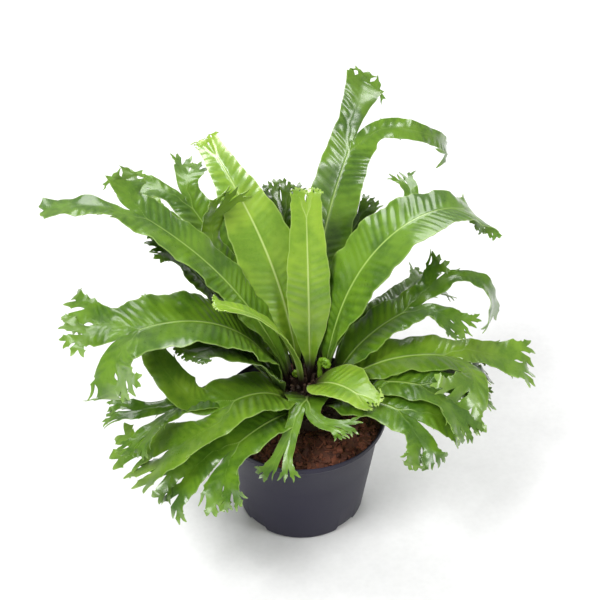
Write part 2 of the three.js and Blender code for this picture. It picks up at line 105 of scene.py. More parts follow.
def crest(reach, spread, droop, lean):
    """Two lobes that each split into two fingers."""
    return (
        lobe(spread, droop, reach, 1.6,
             lobe(spread * 0.9, droop * 0.6, reach * 0.7, 1.4),
             lobe(spread * 0.8 + lean, droop, reach * 0.8, 1.4)),
        lobe(spread - lean, droop * 1.2, reach * 0.9, 1.6,
             lobe(spread * 0.7, droop * 0.7, reach * 0.8, 1.4),
             lobe(spread, droop * 0.5, reach * 0.7, 1.4)),
    )


def frond(name, age, foot, place, turn, rise, fall, hook, sweep, twist, length, width, neck, cup,
          lobes, opens=0.46, comb=32, tone=None, full=1.0):
    tone = tone or (PALE if age == YOUNG else GREEN)
    return dict(name=name, age=age, foot=foot, place=place, turn=turn, rise=rise, fall=fall, hook=hook,
                sweep=sweep, twist=twist, length=length, width=width, neck=neck, cup=cup, lobes=lobes,
                opens=opens, comb=comb, tone=tone, full=full)


FRONDS = (
    # the tallest, at the back; half of its tip arches away to the right
    frond("frond_01", LEAF, 20, 76, 106, 75, 48, 1, -36, 0, 244, 51, 0.85, 10,
          (blunt(2, 6, 62, 2.1),
           lobe(70, 12, 42, 0.95, lobe(0, 92, 134, 0.85))),
          opens=0.62, full=1.1),
    # young, upright in the middle
    frond("frond_02", YOUNG, 8, 80, 94, 80, 62, 1, 0, 0, 184, 43, 0.7, 10,
          nibs(14)),
    # young, leaning back to the left
    frond("frond_03", YOUNG, 20, 124, 110, 78, 30, 1.5, 26, -16, 256, 50, 0.42, 10,
          (blunt(2, 8, 9, 1.05), blunt(2, 12, 10, 1.05)), full=1.2),
    # its crest spreads in front of its right-hand neighbour
    frond("frond_04", LEAF, 20, 146, 155, 64, 50, 1, 0, 0, 158, 42, 0.8, 12,
          (lobe(30, 4, 50, 1.8, lobe(40, 15, 34, 1.4), lobe(20, 5, 38, 1.4)),
           lobe(34, -50, 36, 1.8, lobe(20, -20, 38, 1.4), lobe(44, -14, 36, 1.4))),
          comb=48, tone=FRESH, full=1.2),
    # long, with a narrow lobe reaching out to the left
    frond("frond_05", LEAF, 20, 172, 172, 77, 31, 1, 0, 0, 254, 50, 0.95, 10,
          (lobe(8, 28, 46, 1.25, blunt(4, 16, 42, 1.1)),
           blunt(76, -14, 30, 1.9)),
          full=1.12),
    # behind the long left one
    frond("frond_06", LEAF, 30, 141, 137, 64, 34, 1, 0, 0, 210, 40, 0.8, 12,
          crest(30, 44, 30, -14), comb=48, full=1.25),
    # under the long left one
    frond("frond_07", LEAF, 30, 159, 171, 64, 50, 1, 0, 0, 180, 36, 0.8, 12,
          crest(20, 26, 16, 0), tone=SHADED, full=1.15),
    # broad arch to the left with a hanging crest
    frond("frond_08", LEAF, 30, 189, 200, 86, -15, 1.15, 0, 0, 222, 54, 0.95, 10,
          (lobe(50, 50, 30, 1.5, lobe(30, 30, 28, 1.4), lobe(10, 50, 26, 1.4)),
           lobe(20, -20, 24, 1.6, lobe(24, -40, 32, 1.4), lobe(14, 20, 30, 1.4))),
          comb=64, full=1.5),
    # young and narrow, over the broad arch
    frond("frond_09", YOUNG, 8, 210, 206, 84, 28, 1.2, 0, 0, 162, 20, 0.8, 14,
          crest(6, 16, 14, 4), full=1.15),
    # under the broad arch
    frond("frond_10", LEAF, 30, 208, 209, 79, 17, 1.2, 0, 0, 146, 42, 0.8, 12,
          crest(12, 22, 12, 6), comb=64, tone=SHADED, full=1.4),
    # slender, behind the broad arch
    frond("frond_11", LEAF, 30, 174, 190, 61, 32, 1, 0, 0, 164, 20, 0.8, 12,
          crest(14, 16, 14, 4)),
    # low at the front left, with one half turned up
    frond("frond_12", LEAF, 30, 238, 214, 70, -14, 1, 0, 0, 100, 46, 1, 10,
          (lobe(-22, 8, 64, 2.1, lobe(34, 26, 50, 1.6), lobe(-6, 0, 60, 1.6)),
           lobe(62, -46, 30, 1.5, blunt(8, -22, 66, 0.9))),
          comb=64, tone=FRESH, full=1.35),
    # lowest at the front left, hanging past the rim
    frond("frond_13", LEAF, 30, 258, 232, 36, -18, 1, -12, 0, 106, 38, 1, 12,
          (lobe(32, 30, 30, 1.8, lobe(20, 30, 26, 1.5), lobe(14, 16, 28, 1.5)),
           lobe(8, 16, 46, 1.9, lobe(-10, 24, 40, 1.5), lobe(24, 8, 38, 1.5))),
          comb=64, full=1.25),
    # short and forked, over the front of the soil
    frond("frond_14", YOUNG, 20, 270, 264, 80, -6, 0.7, 0, 0, 42, 32, 0.7, 12,
          (lobe(70, -6, 34, 1.0, lobe(20, 30, 30, 2.2), lobe(50, 40, 24, 2.2)),
           lobe(10, 36, 44, 1.1, lobe(50, 10, 34, 1.9), lobe(20, 24, 38, 1.9))),
          comb=64, tone=GREEN, full=1.4),
    # young, short and blunt, front right
    frond("frond_15", YOUNG, 8, 285, 316, 56, -8, 1, -4, 0, 88, 58, 0.55, 16,
          nibs(9)),
    # level to the right; half of its tip hangs down
    frond("frond_16", LEAF, 30, 351, 3, 86, -16, 0.55, 2, 0, 136, 44, 0.95, 10,
          (lobe(0, 8, 64, 2.0, lobe(0, 10, 28, 1.0), lobe(40, 30, 26, 1.2)),
           lobe(116, 60, 38, 2.0, lobe(30, 24, 34, 1.5), lobe(24, 20, 38, 1.5))),
          comb=64, tone=FRESH, full=1.2),
    # broad arch up to the right with a nodding tip
    frond("frond_17", LEAF, 20, 31, 28, 83, -42, 2.0, 0, 0, 274, 58, 0.72, 10,
          crest(14, 10, 40, 4), full=1.25),
    # behind the broad right arch
    frond("frond_18", LEAF, 30, 53, 48, 83, 2, 1.2, 0, 0, 208, 38, 0.8, 10,
          (lobe(70, 0, 26, 1.0, lobe(40, 20, 22, 1.3), lobe(20, 20, 24, 1.3)),
           blunt(34, 24, 40, 1.3)),
          full=1.2),
    # under the broad right arch, with an open crest
    frond("frond_19", LEAF, 30, 23, 15, 80, 18, 0.8, 0, 0, 120, 38, 0.9, 12,
          (lobe(20, -14, 30, 1.6, lobe(30, -30, 24, 1.4),
                lobe(46, 72, 46, 1.2, lobe(20, 60, 34, 1.7, lobe(30, 20, 24, 1.4), lobe(30, 20, 24, 1.4)))),
           lobe(50, 46, 32, 1.6, lobe(20, 30, 28, 1.5), lobe(30, 30, 26, 1.5))),
          comb=64, full=1.35),
    # low on the right
    frond("frond_20", LEAF, 30, 330, 345, 56, -12, 1, 0, 0, 112, 36, 1, 10,
          crest(36, 36, 28, 8), comb=64, full=1.3),
    # low at the front right
    frond("frond_21", LEAF, 30, 300, 331, 54, -16, 1, 0, 0, 106, 40, 1, 10,
          crest(30, 34, 24, 0), comb=64, full=1.35),
    # dark, beneath the level one
    frond("frond_22", LEAF, 30, 8, 359, 46, -20, 1, 0, 0, 128, 34, 0.9, 10,
          crest(24, 30, 26, -6), comb=64, tone=SHADED, full=1.2),
    # behind the upright one
    frond("frond_23", LEAF, 30, 106, 103, 70, 54, 1, 0, 0, 172, 38, 0.8, 10,
          crest(14, 20, 10, -6), tone=SHADED),
    # behind the tallest, to the right
    frond("frond_24", LEAF, 30, 71, 68, 60, 42, 1, 0, 0, 160, 34, 0.8, 10,
          crest(16, 24, 14, 4), tone=SHADED),
    # low on the left, with a fan that lifts
    frond("frond_28", LEAF, 30, 224, 206, 46, -6, 1, 0, 0, 134, 28, 0.8, 12,
          crest(38, 38, 6, 8), comb=64, full=1.3),
    # the back of the rosette
    frond("frond_25", LEAF, 30, 89, 88, 50, -5, 1, 0, 0, 190, 40, 0.8, 10,
          crest(28, 30, 24, 4), tone=SHADED),
    frond("frond_26", LEAF, 30, 126, 122, 44, -15, 1, 0, 0, 180, 38, 0.8, 10,
          crest(28, 30, 24, -4), tone=SHADED),
    frond("frond_27", LEAF, 30, 39, 42, 56, -5, 1, 0, 0, 130, 36, 0.8, 10,
          crest(28, 30, 24, 4), tone=SHADED),
)

# Young fronds still rolled up: a bare stalk that stands straight and coils over at its tip.
CROZIERS = (
    dict(name="crozier_1", foot=12, place=22, turn=330, height=26, coil=6),
    dict(name="crozier_2", foot=9, place=150, turn=190, height=10, coil=4),
)


# ---------------------------------------------------------------- settings


class FernPotSettings(bpy.types.PropertyGroup):
    """Sizes and colour of the nursery pot."""

    height: FloatProperty(
        name="Height", description="From the table to the top of the rim",
        default=POT_HIGH.z, min=0.05, unit="LENGTH")
    rim_radius: FloatProperty(
        name="Rim radius", description="Outside of the rim", default=POT_HIGH.x, min=0.03, unit="LENGTH")
    neck_radius: FloatProperty(
        name="Neck radius", description="Outside of the wall just under the rim",
        default=POT_HIGH.x - 0.006, min=0.03, unit="LENGTH")
    base_radius: FloatProperty(
        name="Base radius", description="Outside of the wall at the table",
        default=POT_HIGH.x - 0.022, min=0.02, unit="LENGTH")
    wall: FloatProperty(
        name="Wall", description="Thickness of the wall", default=0.0018, min=0.0005, unit="LENGTH")
    colour: FloatVectorProperty(
        name="Colour", description="The pot's plastic", subtype="COLOR",
        default=(0.016, 0.0145, 0.028), min=0, max=1)


class FernSoilSettings(bpy.types.PropertyGroup):
    """The potting mix and the chips in it."""

    chips: IntProperty(name="Chips", description="Coarse chips on top of the mix", default=1300, min=0)
    chip_size: FloatProperty(
        name="Chip size", description="Length of a middling chip", default=0.0052, min=0.001, unit="LENGTH")
    dark: FloatVectorProperty(
        name="Dark", description="Damp mix between the chips", subtype="COLOR",
        default=(0.026, 0.008, 0.004), min=0, max=1)
    light: FloatVectorProperty(
        name="Light", description="Dry faces of the chips", subtype="COLOR",
        default=(0.150, 0.043, 0.018), min=0, max=1)


class FernCrownSettings(bpy.types.PropertyGroup):
    """The mass of old stalk bases that the fronds grow from."""

    stubs: IntProperty(name="Stubs", description="Old stalk bases on the crown", default=150, min=0)
    stub_length: FloatProperty(
        name="Stub length", description="Length of a stalk base", default=0.011, min=0.001, unit="LENGTH")
    colour: FloatVectorProperty(
        name="Colour", description="Old stalk bases", subtype="COLOR",
        default=(0.030, 0.016, 0.009), min=0, max=1)


class FernFrondSettings(bpy.types.PropertyGroup):
    """What all the fronds share."""

    blade: FloatProperty(
        name="Blade", description="Thickness of the blade", default=0.0007, min=0.0002, unit="LENGTH")
    rib: FloatProperty(
        name="Rib", description="How much thicker the midrib is near the foot",
        default=0.0022, min=0, unit="LENGTH")
    pleat: FloatProperty(
        name="Pleat", description="Depth of the pleats between side veins",
        default=0.00072, min=0, unit="LENGTH")
    pitch: FloatProperty(
        name="Pleat pitch", description="Distance from pleat to pleat", default=0.0085, min=0.001, unit="LENGTH")
    ruffle: FloatProperty(
        name="Ruffle", description="How far the margin of an old frond waves up and down",
        default=0.0026, min=0, unit="LENGTH")
    seed: IntProperty(name="Seed", description="Changes every tooth and wave", default=7, min=0)
    leaf: FloatVectorProperty(
        name="Leaf", description="Grown fronds", subtype="COLOR",
        default=(0.116, 0.228, 0.013), min=0, max=1)
    leaf_deep: FloatVectorProperty(
        name="Leaf, deep", description="Darker areas of grown fronds", subtype="COLOR",
        default=(0.042, 0.108, 0.006), min=0, max=1)
    young: FloatVectorProperty(
        name="Young leaf", description="Young fronds", subtype="COLOR",
        default=(0.235, 0.375, 0.028), min=0, max=1)
    young_deep: FloatVectorProperty(
        name="Young leaf, deep", description="Deeper areas of young fronds", subtype="COLOR",
        default=(0.130, 0.255, 0.015), min=0, max=1)


class FernStageSettings(bpy.types.PropertyGroup):
    """The camera and the light."""

    elevation: FloatProperty(
        name="Camera elevation", description="Angle of the camera above the horizon",
        default=math.radians(40), subtype="ANGLE")
    distance: FloatProperty(
        name="Camera distance", description="From the camera to the middle of the plant",
        default=1.708, min=0.5, unit="LENGTH")
    lens: FloatProperty(name="Lens", description="Focal length", default=108, min=20, unit="CAMERA")
    light: FloatProperty(name="Light", description="Strength of all the lamps", default=1.0, min=0)


# ---------------------------------------------------------------- making pieces with operators


def deselect():
    if bpy.context.object and bpy.context.object.mode != "OBJECT":
        bpy.ops.object.mode_set(mode="OBJECT")
    bpy.ops.object.select_all(action="DESELECT")


def activate(piece):
    deselect()
    piece.select_set(True)
    bpy.context.view_layer.objects.active = piece
    return piece


def start(name):
    """Names the primitive that an operator has just added."""
    piece = bpy.context.object
    piece.name = piece.data.name = name
    return piece


def select_verts(piece, test):
    """In edit mode, selects the vertices for which the test holds, and the edges and faces between them."""
    shape = bmesh.from_edit_mesh(piece.data)
    for vert in shape.verts:
        vert.select = test(vert.co)
    shape.select_flush_mode()
    shape.select_flush(True)
    bmesh.update_edit_mesh(piece.data)


def apply_modifiers(piece):
    activate(piece)
    for modifier in list(piece.modifiers):
        bpy.ops.object.modifier_apply(modifier=modifier.name)


def settle(piece):
    """Puts a piece's place and turn into its mesh."""
    activate(piece)
    bpy.ops.object.transform_apply(location=True, rotation=True, scale=True)


def turned_shell(name, profile, sides, centre=(0, 0)):
    """A closed body of revolution: a ring pulled and scaled from one point of the profile to the next."""
    deselect()
    radius, height = profile[0]
    bpy.ops.mesh.primitive_circle_add(
        vertices=sides, radius=radius, fill_type="NGON", location=(centre[0], centre[1], height))
    piece = start(name)
    settle(piece)
    bpy.ops.object.mode_set(mode="EDIT")
    bpy.ops.mesh.select_mode(type="VERT")
    bpy.ops.mesh.select_all(action="SELECT")
    bpy.ops.mesh.delete(type="ONLY_FACE")
    bpy.ops.mesh.select_all(action="SELECT")
    for (was, low), (now, high) in zip(profile, profile[1:]):
        bpy.ops.mesh.extrude_region_move(TRANSFORM_OT_translate={"value": (0, 0, high - low)})
        bpy.ops.transform.resize(
            value=(now / was, now / was, 1), center_override=(centre[0], centre[1], high))
    bpy.ops.mesh.edge_face_add()
    first = Vector((centre[0], centre[1], height))
    select_verts(piece, lambda co: abs((co - first).length - radius) < 1e-6 and abs(co.z - height) < 1e-6)
    bpy.ops.mesh.edge_face_add()
    bpy.ops.mesh.select_all(action="SELECT")
    bpy.ops.mesh.normals_make_consistent(inside=False)
    bpy.ops.object.mode_set(mode="OBJECT")
    return piece


def smooth_shade(piece, angle=35):
    activate(piece)
    bpy.ops.object.shade_smooth_by_angle(angle=math.radians(angle))


def finish_piece(piece, node, slot, *materials):
    """Puts a finished piece in its CAD node's stead."""
    piece.data.materials.clear()
    for material in materials:
        piece.data.materials.append(material)
    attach(piece, BODY)
    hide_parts(node)


def scattered(source, places, tints, name):
    """Copies of one small shape, each with its own mesh and its own tint, joined into one piece."""
    copies = []
    for matrix, tint in zip(places, tints):
        copy = source.copy()
        copy.data = source.data.copy()
        copy.data.transform(matrix)
        values = copy.data.attributes.new("tint", "FLOAT", "POINT")
        values.data.foreach_set("value", [tint] * len(copy.data.vertices))
        bpy.context.collection.objects.link(copy)
        copies.append(copy)
    deselect()
    for copy in copies:
        copy.select_set(True)
    bpy.context.view_layer.objects.active = copies[0]
    bpy.ops.object.join()
    return start(name)


def displace(piece, kind, size, strength, group=None, **texture_settings):
    """Roughens a piece with a procedural texture and applies it."""
    texture = bpy.data.textures.new(piece.name + "_" + kind.lower(), kind)
    texture.noise_scale = size
    for key, value in texture_settings.items():
        setattr(texture, key, value)
    modifier = piece.modifiers.new("rough", "DISPLACE")
    modifier.texture = texture
    modifier.texture_coords = "LOCAL"
    modifier.strength = strength
    modifier.mid_level = 0.5
    if group:
        modifier.vertex_group = group
    apply_modifiers(piece)


def group_of(piece, name, weight):
    """A vertex group whose weight at a vertex is what the function says of its place."""
    group = piece.vertex_groups.new(name=name)
    for vert in piece.data.vertices:
        group.add([vert.index], weight(vert.co), "REPLACE")
    return group


# ---------------------------------------------------------------- growing a frond


def smooth(value):
    t = min(1.0, max(0.0, value))
    return t * t * (3 - 2 * t)


def spun(vector, axis, degrees):
    """A vector turned about a unit axis."""
    angle = math.radians(degrees)
    cos, sin = math.cos(angle), math.sin(angle)
    cross = np.cross(axis, vector)
    return vector * cos + cross * sin + axis * (axis @ vector) * (1 - cos)


class Course:
    """Travels along a blade: where it is, which way it runs, its left side and its upper side."""

    def __init__(self, at, ahead, left, up):
        self.at, self.ahead, self.left, self.up = at, ahead, left, up

    def turned(self, veer, dip, roll):
        ahead = spun(self.ahead, self.up, veer)
        left = spun(self.left, self.up, veer)
        ahead = spun(ahead, left, dip)
        left = spun(left, ahead, roll)
        up = np.cross(ahead, left)
        return Course(self.at.copy(), ahead, left, up / np.linalg.norm(up))

    def advanced(self, distance, veer, dip, roll):
        middle = self.turned(veer / 2, dip / 2, roll / 2)
        middle.at = middle.at + middle.ahead * distance
        return middle.turned(veer / 2, dip / 2, roll / 2)

    def beside(self, distance, fold):
        """A course that starts to the left of this one, rolled by fold about the way ahead."""
        left = spun(self.left, self.ahead, fold)
        up = np.cross(self.ahead, left)
        return Course(self.at + self.left * distance, self.ahead.copy(), left, up)


class Section:
    """One row of points across a blade, right edge first, in its course's own directions."""

    FIELDS = ("y", "z", "x", "thick", "rib", "edge", "pleat", "u")

    def __init__(self, **fields):
        for name in self.FIELDS:
            setattr(self, name, fields[name])

    def part(self, first, last):
        return Section(**{name: getattr(self, name)[first:last + 1].copy() for name in self.FIELDS})

    def toward(self, other, share):
        return Section(**{
            name: getattr(self, name) * (1 - share) + getattr(other, name) * share for name in self.FIELDS})


class Sheet:
    """A frond's surface as it grows: its points, its faces, and what the finish needs to know of them."""

    def __init__(self):
        self.points, self.faces = [], []
        self.thick, self.rib, self.edge, self.pleat, self.u, self.v, self.tip = ([] for _ in range(7))
        self.count = 0

    def add_row(self, course, section, v, tip):
        points = (course.at + section.x[:, None] * course.ahead + section.y[:, None] * course.left
                  + section.z[:, None] * course.up)
        self.points.append(points)
        for name in ("thick", "rib", "edge", "pleat", "u"):
            getattr(self, name).append(getattr(section, name))
        self.v.append(np.full(len(points), v))
        self.tip.append(np.full(len(points), tip))
        row = np.arange(self.count, self.count + len(points))
        self.count += len(points)
        return row

    def join_rows(self, back, front):
        for i in range(len(back) - 1):
            self.faces.append((back[i], front[i], front[i + 1], back[i + 1]))

    def place(self, numbers):
        points = np.concatenate(self.points)
        return points[numbers]


def columns(count, gather):
    """Places across a blade from -1 to 1, gathered towards the rib in its middle."""
    even = np.linspace(-1, 1, count + 1)
    return np.sign(even) * ((1 - gather) * np.abs(even) + gather * np.abs(even) ** 1.8)


class Grower:
    """Grows one frond from its row of the table. Lengths in millimetres."""

    ROW = 1.6
    LEAN = 0.47  # how far a side vein runs on along the blade for each millimetre that it runs out

    def __init__(self, row, settings):
        self.row = row
        self.young = row["age"] == YOUNG
        self.dice = random.Random(f"{row['name']} {settings.seed}")
        self.sheet = Sheet()
        self.blade = settings.blade / MM
        self.rib = settings.rib / MM
        self.pleat = settings.pleat / MM * (0.55 if self.young else 1)
        self.pitch = settings.pitch / MM
        self.ruffle = settings.ruffle / MM * (0.25 if self.young else 1)
        self.phase = [self.dice.uniform(0, 2 * math.pi) for _ in range(8)]
        self.waves = [self.dice.uniform(38, 58) for _ in range(2)]

    def wave(self, v, side):
        """Wave of the margin on one side."""
        index = 0 if side > 0 else 1
        wave = 2 * math.pi / self.waves[index]
        return 0.7 * math.sin(wave * v + self.phase[index]) + 0.3 * math.sin(2.3 * wave * v + self.phase[index + 2])

    def section(self, across, half, fold, v, ribs, strength, thick, ruffle, pleat):
        """A row of the given half width. Ribs are the places across it, in millimetres, where a rib runs."""
        angle = math.radians(fold)
        soft = 0.07
        lift = np.sqrt(across ** 2 + soft ** 2) - soft
        y = across * half * math.cos(angle)
        z = lift * half * math.sin(angle)
        side = np.where(across > 0, self.wave(v, 1), self.wave(v, -1))
        wide = np.abs(across)
        z = z + ruffle * wide ** 2.2 * side - 0.05 * half * wide ** 4
        y = y * (1 + 0.035 * wide * np.where(across > 0, self.wave(v * 1.7, 1), self.wave(v * 1.7, -1)))
        out = np.min([np.abs(y - rib) for rib in ribs], axis=0)
        phase = v - self.LEAN * out + 2.2 * math.sin(v / 12 + self.phase[4]) + 1.6 * math.sin(v / 31 + self.phase[5])
        fold_line = np.sin(2 * math.pi * phase / self.pitch + np.where(across > 0, 0, 2.1))
        crisp = np.where(
            across > 0, 0.6 + 0.4 * math.sin(v / 23 + self.phase[6]), 0.6 + 0.4 * math.sin(v / 19 + self.phase[7]))
        mask = np.clip((out - 1.2) / 4.5, 0, 1) * (1 - 0.55 * np.clip((wide - 0.75) / 0.25, 0, 1))
        z = z + pleat * crisp * mask * fold_line
        width = 1.0 + 0.6 * strength
        ridge = np.max([np.exp(-((y - rib) / width) ** 2) for rib in ribs], axis=0)
        return Section(
            y=y, z=z, x=np.zeros_like(y), thick=thick + self.rib * strength * ridge,
            rib=ridge * min(1.0, 0.35 + strength), edge=wide, pleat=fold_line * mask * crisp, u=y)

    def grown(self):
        row = self.row
        heading, slope = math.radians(row["turn"]), math.radians(row["rise"])
        ahead = np.array([
            math.cos(slope) * math.cos(heading), math.cos(slope) * math.sin(heading), math.sin(slope)])
        left = np.array([-math.sin(heading), math.cos(heading), 0.0])
        course = Course(foot_of(row), ahead, left, np.cross(ahead, left))
        length = row["length"]
        rows = max(16, round(length / self.ROW))

        def slope_at(along):
            return row["rise"] + (row["fall"] - row["rise"]) * along ** row["hook"]

        across = columns(row["comb"], 0.55)
        sunk = 4
        course.at = course.at - course.ahead * FOOT_DEPTH
        back, half = None, 0
        for i in range(-sunk, rows + 1):
            along = max(0, i) / rows
            if -sunk < i <= 0:
                course = course.advanced(FOOT_DEPTH / sunk, 0, 0, 0)
            elif i > 0:
                dip = slope_at((i - 1) / rows) - slope_at(along)
                course = course.advanced(length / rows, row["sweep"] / rows, dip, row["twist"] / rows)
            opened = smooth(along / row["opens"])
            narrowed = 1 - (1 - row["neck"]) * smooth((along - NECK_STARTS) / (1 - NECK_STARTS))
            wide = row["width"] * row["full"]
            half = (STALK_WIDTH + (wide - STALK_WIDTH) * opened) * narrowed / 2
            fold = STALK_FOLD + (row["cup"] - STALK_FOLD) * opened
            thick = self.blade + (STALK_THICKNESS - self.blade) * (1 - smooth(along / 0.3))
            strength = 0.25 + 0.75 * (1 - along) ** 0.8
            fork = 0.3 * half * smooth((along * length - length + 16) / 16)
            section = self.section(
                across, half, fold, along * length, (fork, -fork), strength, thick,
                self.ruffle * opened, self.pleat * opened)
            front = self.sheet.add_row(course, section, along * length, 0)
            if back is not None:
                self.sheet.join_rows(back, front)
            back = front
        self.split(back, course, half, row["cup"], row["lobes"], length, 0.3 * half, 0.25)
        return self.sheet

    def split(self, row, course, half, fold, lobes, v, rib, strength):
        """The two halves of a row carry on as two lobes that share the middle point."""
        middle = (len(row) - 1) // 2
        for side, shape, part in ((1, lobes[0], row[middle:]), (-1, lobes[1], row[:middle + 1])):
            start = course.beside(0, side * fold)
            start.at = course.at + start.left * side * half / 2
            self.grow_lobe(part, start, half / 2, shape, side, v, side * (rib - half / 2), strength)

    def inherited(self, row, course):
        """The last row of what a lobe grows from, seen from the lobe's own course."""
        points = self.sheet.place(row) - course.at
        fields = {name: np.concatenate(getattr(self.sheet, name))[row] for name in ("thick", "rib", "edge", "pleat", "u")}
        return Section(x=points @ course.ahead, y=points @ course.left, z=points @ course.up, **fields)

    def grow_lobe(self, row, course, start_half, shape, side, v, rib, strength):
        count = len(row) - 1
        length = shape["length"]
        forks = len(shape["lobes"]) > 1 and count >= 4
        tip = not shape["lobes"]
        comb = min(0.7 * length, shape.get("comb", 1.5 * start_half + 9)) if tip and count >= 4 else 0
        trunk = length - comb
        rows = max(3, round(trunk / self.ROW))
        first = self.inherited(row, course)
        blend = min(trunk, 11.0)
        teeth = self.side_teeth(count, trunk, forks or not tip, rows)
        half = start_half
        for i in range(1, rows + 1):
            along = trunk * i / rows / length
            step = trunk / rows
            early = 1.5 - i / rows  # most of the turn comes first, which opens the gap between two lobes
            course = course.advanced(
                step, side * shape["veer"] * early * step / length, shape["dip"] * step / length, 0)
            waist = 1 - 0.16 * math.sin(math.pi * i / rows)
            half = start_half * (1 + (shape["wide"] - 1) * along) * waist
            share = smooth(step * i / blend)
            v_here = v + step * i
            across = columns(len(row) - 1, 0.3)
            rib_here = rib * (1 - share)
            fork = 0.35 * half * smooth((i / rows - 0.6) / 0.4) if forks or tip else 0
            power = max(0.1, strength * (1 - 0.5 * along))
            aim = self.section(
                across, half, 10 * along, v_here, (rib_here + fork, rib_here - fork), power, self.blade,
                self.ruffle * 0.8, self.pleat * 0.6)
            swelled = first.part(0, len(row) - 1)
            swelled.y = swelled.y * half / start_half
            front = self.sheet.add_row(course, swelled.toward(aim, share), v_here, 0.25 * along if tip else 0)
            self.sheet.join_rows(row, front)
            row = front
            if i in teeth and len(row) - 1 >= 6:
                outer = teeth[i]
                piece = row[-3:] if outer > 0 else row[:3]
                self.side_tooth(piece, course, outer, v_here, half)
                row = row[:-2] if outer > 0 else row[2:]
                first = first.part(0, len(first.y) - 3) if outer > 0 else first.part(2, len(first.y) - 1)
                rest = self.inherited(row, course)
                first = rest
                first.y = first.y * start_half / half
                blend = step * i + 7
        if len(shape["lobes"]) == 1:
            self.grow_lobe(row, course, half, shape["lobes"][0], side, v + trunk, 0, strength * 0.8)
        elif forks:
            self.split(row, course, half, 10, shape["lobes"], v + trunk, 0.35 * half, strength * 0.7)
        elif comb:
            self.comb(row, course, comb, side, v + trunk, 0.3)

    def side_teeth(self, count, trunk, needs_more, rows):
        """The rows of a lobe at which a tooth leaves one of its edges."""
        spare = (count - (8 if needs_more else 4)) // 2
        wanted = min(spare, int(trunk / 15))
        found = {}
        for n in range(wanted):
            at = int(rows * (0.3 + 0.6 * (n + self.dice.random()) / max(1, wanted)))
            found[at] = 1 if self.dice.random() < 0.5 else -1
        return found

    def centred(self, row, course):
        """A course in the middle of a row, and the row's half width."""
        points = self.sheet.place(row) - course.at
        y = points @ course.left
        start = Course(course.at.copy(), course.ahead.copy(), course.left.copy(), course.up.copy())
        start.at = course.at + course.left * (y.max() + y.min()) / 2 + course.up * float((points @ course.up).mean())
        return start, (y.max() - y.min()) / 2

    def side_tooth(self, row, course, outer, v, half):
        start, width = self.centred(row, course)
        length = self.dice.uniform(0.35, 0.75) * min(14, half + 3)
        self.tooth(row, start, width, length, outer * self.dice.uniform(35, 60), v)

    def comb(self, row, course, length, side, v, tip):
        """Splits again and again until every part is one tooth."""
        count = len(row) - 1
        dice = self.dice
        if count <= 3:
            start, width = self.centred(row, course)
            self.tooth(row, start, width, length, side * dice.uniform(-15, 25), v)
            return
        cut = dice.choice((count // 2, (count + 1) // 2))
        if count >= 7 and dice.random() < 0.4:
            cut = dice.choice((2, count - 2))
        for outer, part in ((-1, row[:cut + 1]), (1, row[cut:])):
            start, width = self.centred(part, course)
            share = (len(part) - 1) / count
            veer = outer * dice.uniform(22, 44) * (1.6 - share)
            if len(part) - 1 <= 3:
                self.tooth(part, start, width, length * dice.uniform(0.65, 1.0), veer, v)
                continue
            trunk = length * dice.uniform(0.35, 0.5)
            self.finger(part, start, width, trunk, length - trunk, veer, outer, v, tip)

    def finger(self, row, course, start_half, trunk, rest, veer, outer, v, tip):
        rows = max(3, round(trunk / 1.2))
        first = self.inherited(row, course)
        dip = self.dice.uniform(-24, 44)
        for i in range(1, rows + 1):
            along = i / rows
            course = course.advanced(trunk / rows, veer * (1.5 - along) / rows, dip / rows, 0)
            half = start_half * (1 + 0.3 * along) * (1 - 0.24 * math.sin(math.pi * along ** 0.8))
            aim = self.section(
                columns(len(row) - 1, 0.1), half, 8, v + trunk * along, (0,), 0.12, self.blade, 0.3, 0.1)
            swelled = first.part(0, len(row) - 1)
            swelled.y = swelled.y * half / start_half
            front = self.sheet.add_row(course, swelled.toward(aim, smooth(along)), v + trunk * along, tip)
            self.sheet.join_rows(row, front)
            row = front
        self.comb(row, course, rest, outer, v + trunk, min(1, tip + 0.3))

    def tooth(self, row, course, start_half, length, veer, v):
        """A pointed tooth that curls a little."""
        rows = max(4, round(length / 1.1))
        first = self.inherited(row, course)
        dip = self.dice.uniform(-20, 42)
        for i in range(1, rows + 1):
            along = i / rows
            course = course.advanced(length / rows, veer / rows, dip / rows, 0)
            half = start_half * (1 - 0.92 * along ** 1.4) * (1 - 0.2 * math.sin(math.pi * along ** 0.7))
            aim = self.section(
                columns(len(row) - 1, 0), half, 8, v + length * along, (0,), 0.08 * (1 - along), self.blade, 0, 0)
            swelled = first.part(0, len(row) - 1)
            swelled.y = swelled.y * half / start_half
            front = self.sheet.add_row(
                course, swelled.toward(aim, smooth(along * 1.5)), v + length * along, 0.4 + 0.6 * along)
            self.sheet.join_rows(row, front)
            row = front


STALK_THICKNESS = 3.0
STALK_WIDTH = 6.5
STALK_FOLD = 36
NECK_STARTS = 0.55
FOOT_GAP = 2.4
FOOT_DEPTH = 7.0  # how far a stalk goes down into the crown
CROZIER_GAP = 2.0
CROWN_DOMING = 0.85
MOST_THICK = 6.0


def crown_height(distance):
    """Height of the crown's dome at a distance from its middle, in millimetres."""
    radius = (CROWN_HIGH.x - CROWN_LOW.x) / 2 / MM
    across = min(1.0, distance / radius)
    rise = (CROWN_HIGH.z - CROWN_LOW.z) / MM
    return CROWN_LOW.z / MM + rise * math.sqrt(1 - CROWN_DOMING * across ** 2)


def crown_middle():
    middle = (CROWN_LOW + CROWN_HIGH) / 2 / MM
    return middle.x, middle.y


def foot_of(row, gap=FOOT_GAP):
    place = math.radians(row["place"])
    x, y = crown_middle()
    return np.array([
        x + row["foot"] * math.cos(place), y + row["foot"] * math.sin(place),
        crown_height(row["foot"]) + gap])


